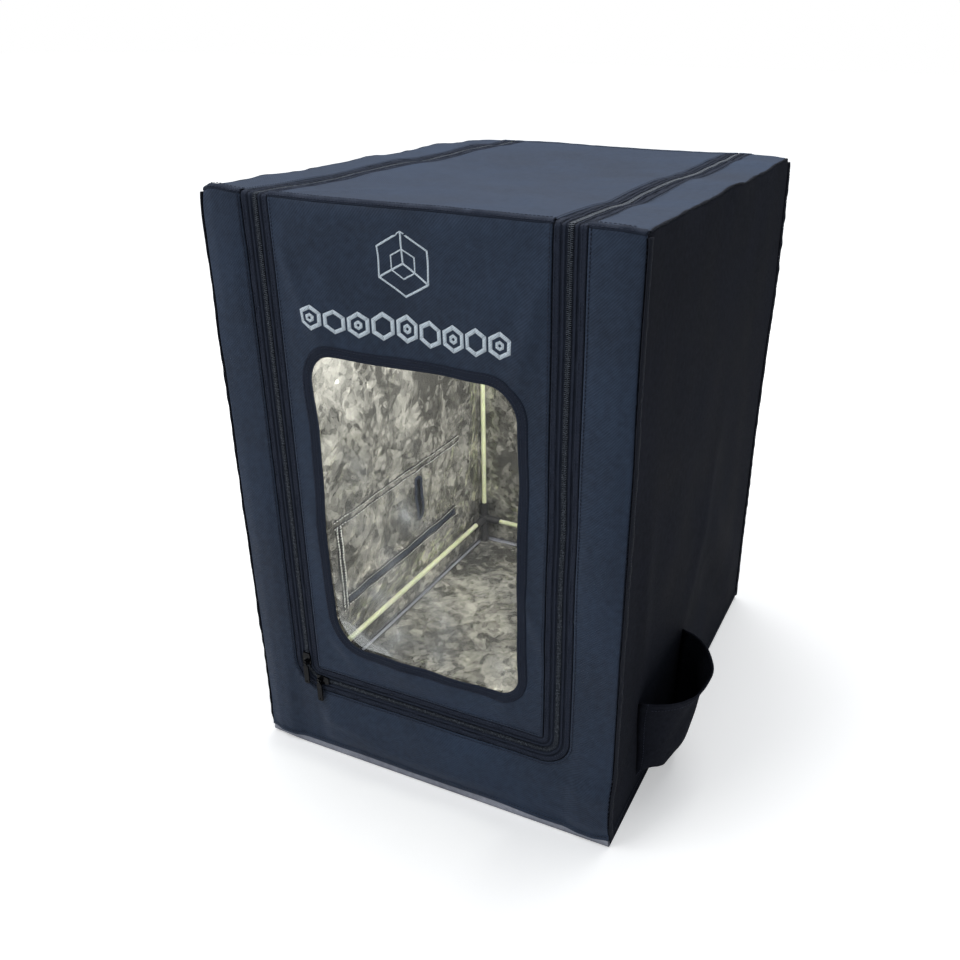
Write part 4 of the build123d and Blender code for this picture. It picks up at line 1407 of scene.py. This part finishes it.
def make_lining_seams():
    """Stitching that shows inside on the left wall, around the cable flap, each row on a dark strip of
    painted shade; and tape beside the slot.
    """
    low, high = FLAP_LOW, FLAP_HIGH
    rows, seam_shadow_strips = [], []

    def inside_row(start, end, length=STITCH):
        line = straight(start, end, 3 * MM)
        on = on_left_foil(line, 2.0 * MM)
        inwards = np.tile([1.0, 0, 0], (len(on), 1))
        rows.append(stitches(on, inwards, length=length, gap=3 * MM, thread=0.55 * MM))
        # a dark strip under each row, standing off the foil: painted shade along the seam
        beside = unit(line[-1] - line[0])[::-1] * np.array([-0.8 * MM, 0.8 * MM])
        index = np.arange(2 * len(line)).reshape(2, -1).T
        seam_shadow_strips.append(foil_patch(np.concatenate([line - beside, line + beside]), strip_quads(index),
                                  1.7 * MM, 0.3 * MM))

    for z in (high.z + 2 * MM, high.z + 12 * MM):
        inside_row((low.y - 14 * MM, z), (high.y + 12 * MM, z))
    for z in (low.z + 3 * MM, low.z + 18 * MM):
        inside_row((low.y, z), (high.y, z))
    far, near = low.y - 9 * MM, low.y - 1 * MM
    for rung in range(30):
        z = low.z + 8 * MM + rung * 4.2 * MM
        inside_row((far, z), (near, z + 1 * MM), 4 * MM)
    for y in (far, near):
        inside_row((y, low.z), (y, high.z))
    add_piece("lining_stitches", rows, THREAD_GREY)
    add_piece("lining_stitch_grooves", seam_shadow_strips, LOOP)

    strip = flat_grid(lines([low.y + 4 * MM, high.y - 2 * MM], 4 * MM),
                      lines([low.z + 6.5 * MM, low.z + 14.5 * MM], 1.4 * MM))
    rim = 5 * MM
    around = flat_grid(lines([SLOT[0] - rim, *SLOT[:2], SLOT[1] + rim], 1.5 * MM),
                       lines([SLOT[2] - rim, *SLOT[2:], SLOT[3] + rim], 3 * MM),
                       lambda a, b: np.maximum(slot_distance(a, b) - rim, -slot_distance(a, b)))
    parts = [foil_patch(*strip, 2.2 * MM, 0.3 * MM), foil_patch(*around, 1.6 * MM, 0.4 * MM)]
    add_piece("lining_black_tape", parts, BINDING)


# ---------------------------------------------------------------- CAD nodes that stay


def dress_cad_nodes():
    """Rods, connectors, sliders and pulls keep their CAD shape. The metal ones get rounded edges."""
    looks = {
        "fibreglass_rod": ROD,
        "connector_plastic": CONNECTOR,
        "slider_metal": SLIDER,
        "pull_metal": PULL,
    }
    for part in frame["record"]["subparts"]:
        material = looks.get(part["material_slot"])
        if material is None:
            continue
        node = frame["nodes"][part["node"]]
        node.data.materials.clear()
        node.data.materials.append(material)
        if material in (SLIDER, PULL):
            bevel = node.modifiers.new("rounded_edges", "BEVEL")
            bevel.width = 0.35 * MM
            bevel.segments = 3
            bevel.limit_method = "ANGLE"
            bevel.angle_limit = math.radians(40)


# ---------------------------------------------------------------- camera, light and table


CAMERA_AT = (0.4845, -1.0596, 0.8434)
CAMERA_LOOK = (-0.3626, 0.8206, -0.4417)
CAMERA_ROLL = math.radians(1.0)
CAMERA_LENS = 35.1
CAMERA_SHIFT = (-0.066, 0.017)

# Area lights: name, place, target, size, power and colour
WHITE, WARM = (1, 1, 1), (1.0, 0.975, 0.93)
LIGHTS = (
    ("key", (-1.0, -1.3, 2.4), (0, 0, 0.4), (1.4, 1.1), 26, WHITE),
    ("top", (0.0, 0.6, 2.7), (0, 0, 0.7), (2.2, 1.8), 48, WHITE),
    ("inside_front", (0.12, -0.24, 0.6), (-0.24, -0.02, 0.45), (0.06, 0.05), 2.5, WARM),
    ("inside_right", (0.2, 0.05, 0.45), (-0.2, 0.1, 0.3), (0.04, 0.2), 1.0, WARM),
    ("inside_top", (0.05, 0.02, 0.61), (-0.24, 0.1, 0.48), (0.06, 0.06), 2.2, WARM),
)


def make_camera():
    data = bpy.data.cameras.new("camera")
    data.sensor_width = 36
    data.lens = CAMERA_LENS
    data.shift_x, data.shift_y = CAMERA_SHIFT
    camera = bpy.data.objects.new("camera", data)
    camera.location = CAMERA_AT
    turn = Vector(CAMERA_LOOK).to_track_quat("-Z", "Y").to_matrix()
    camera.rotation_euler = (turn @ Euler((0, 0, CAMERA_ROLL)).to_matrix()).to_euler()
    bpy.context.scene.collection.objects.link(camera)
    bpy.context.scene.camera = camera


def make_lights():
    for name, at, target, size, power, colour in LIGHTS:
        data = bpy.data.lights.new(name, "AREA")
        data.shape = "RECTANGLE"
        data.size, data.size_y = size
        data.energy = power
        data.color = colour
        light = bpy.data.objects.new(name, data)
        light.location = at
        light.rotation_euler = (Vector(target) - Vector(at)).to_track_quat("-Z", "Y").to_euler()
        light.visible_camera = False
        bpy.context.scene.collection.objects.link(light)


def make_world():
    """White to the camera, but dimmer as a light, so that the sides keep their contrast."""
    n = Nodes("studio", bpy.data.worlds)
    seen = n.add("ShaderNodeLightPath").outputs["Is Camera Ray"]
    n.look(Color=n.ramp(seen, (0.86, 0.93, 1.0), (1, 1, 1)), Strength=n.level(seen, 0.30, 1.0))
    bpy.context.scene.world = n.owner
    bpy.context.scene.view_settings.view_transform = "Standard"


def make_table():
    flat, quads = flat_grid(lines([-30, 30], 2), lines([-30, 30], 2))
    mesh_object("table", place_floor(flat, -0.4 * MM), quads, table_material())


make_walls()
make_surround()
make_tray()
make_hem()
make_corner_seams()
make_top_seams()
make_linings()
make_lining_seams()
make_door()
make_fold_welt()
make_rear_fold()
make_zip()
make_window()
make_print()
make_pocket()
make_cable_flap()
make_fastening_strips()
dress_cad_nodes()
make_camera()
make_lights()
make_world()
make_table()
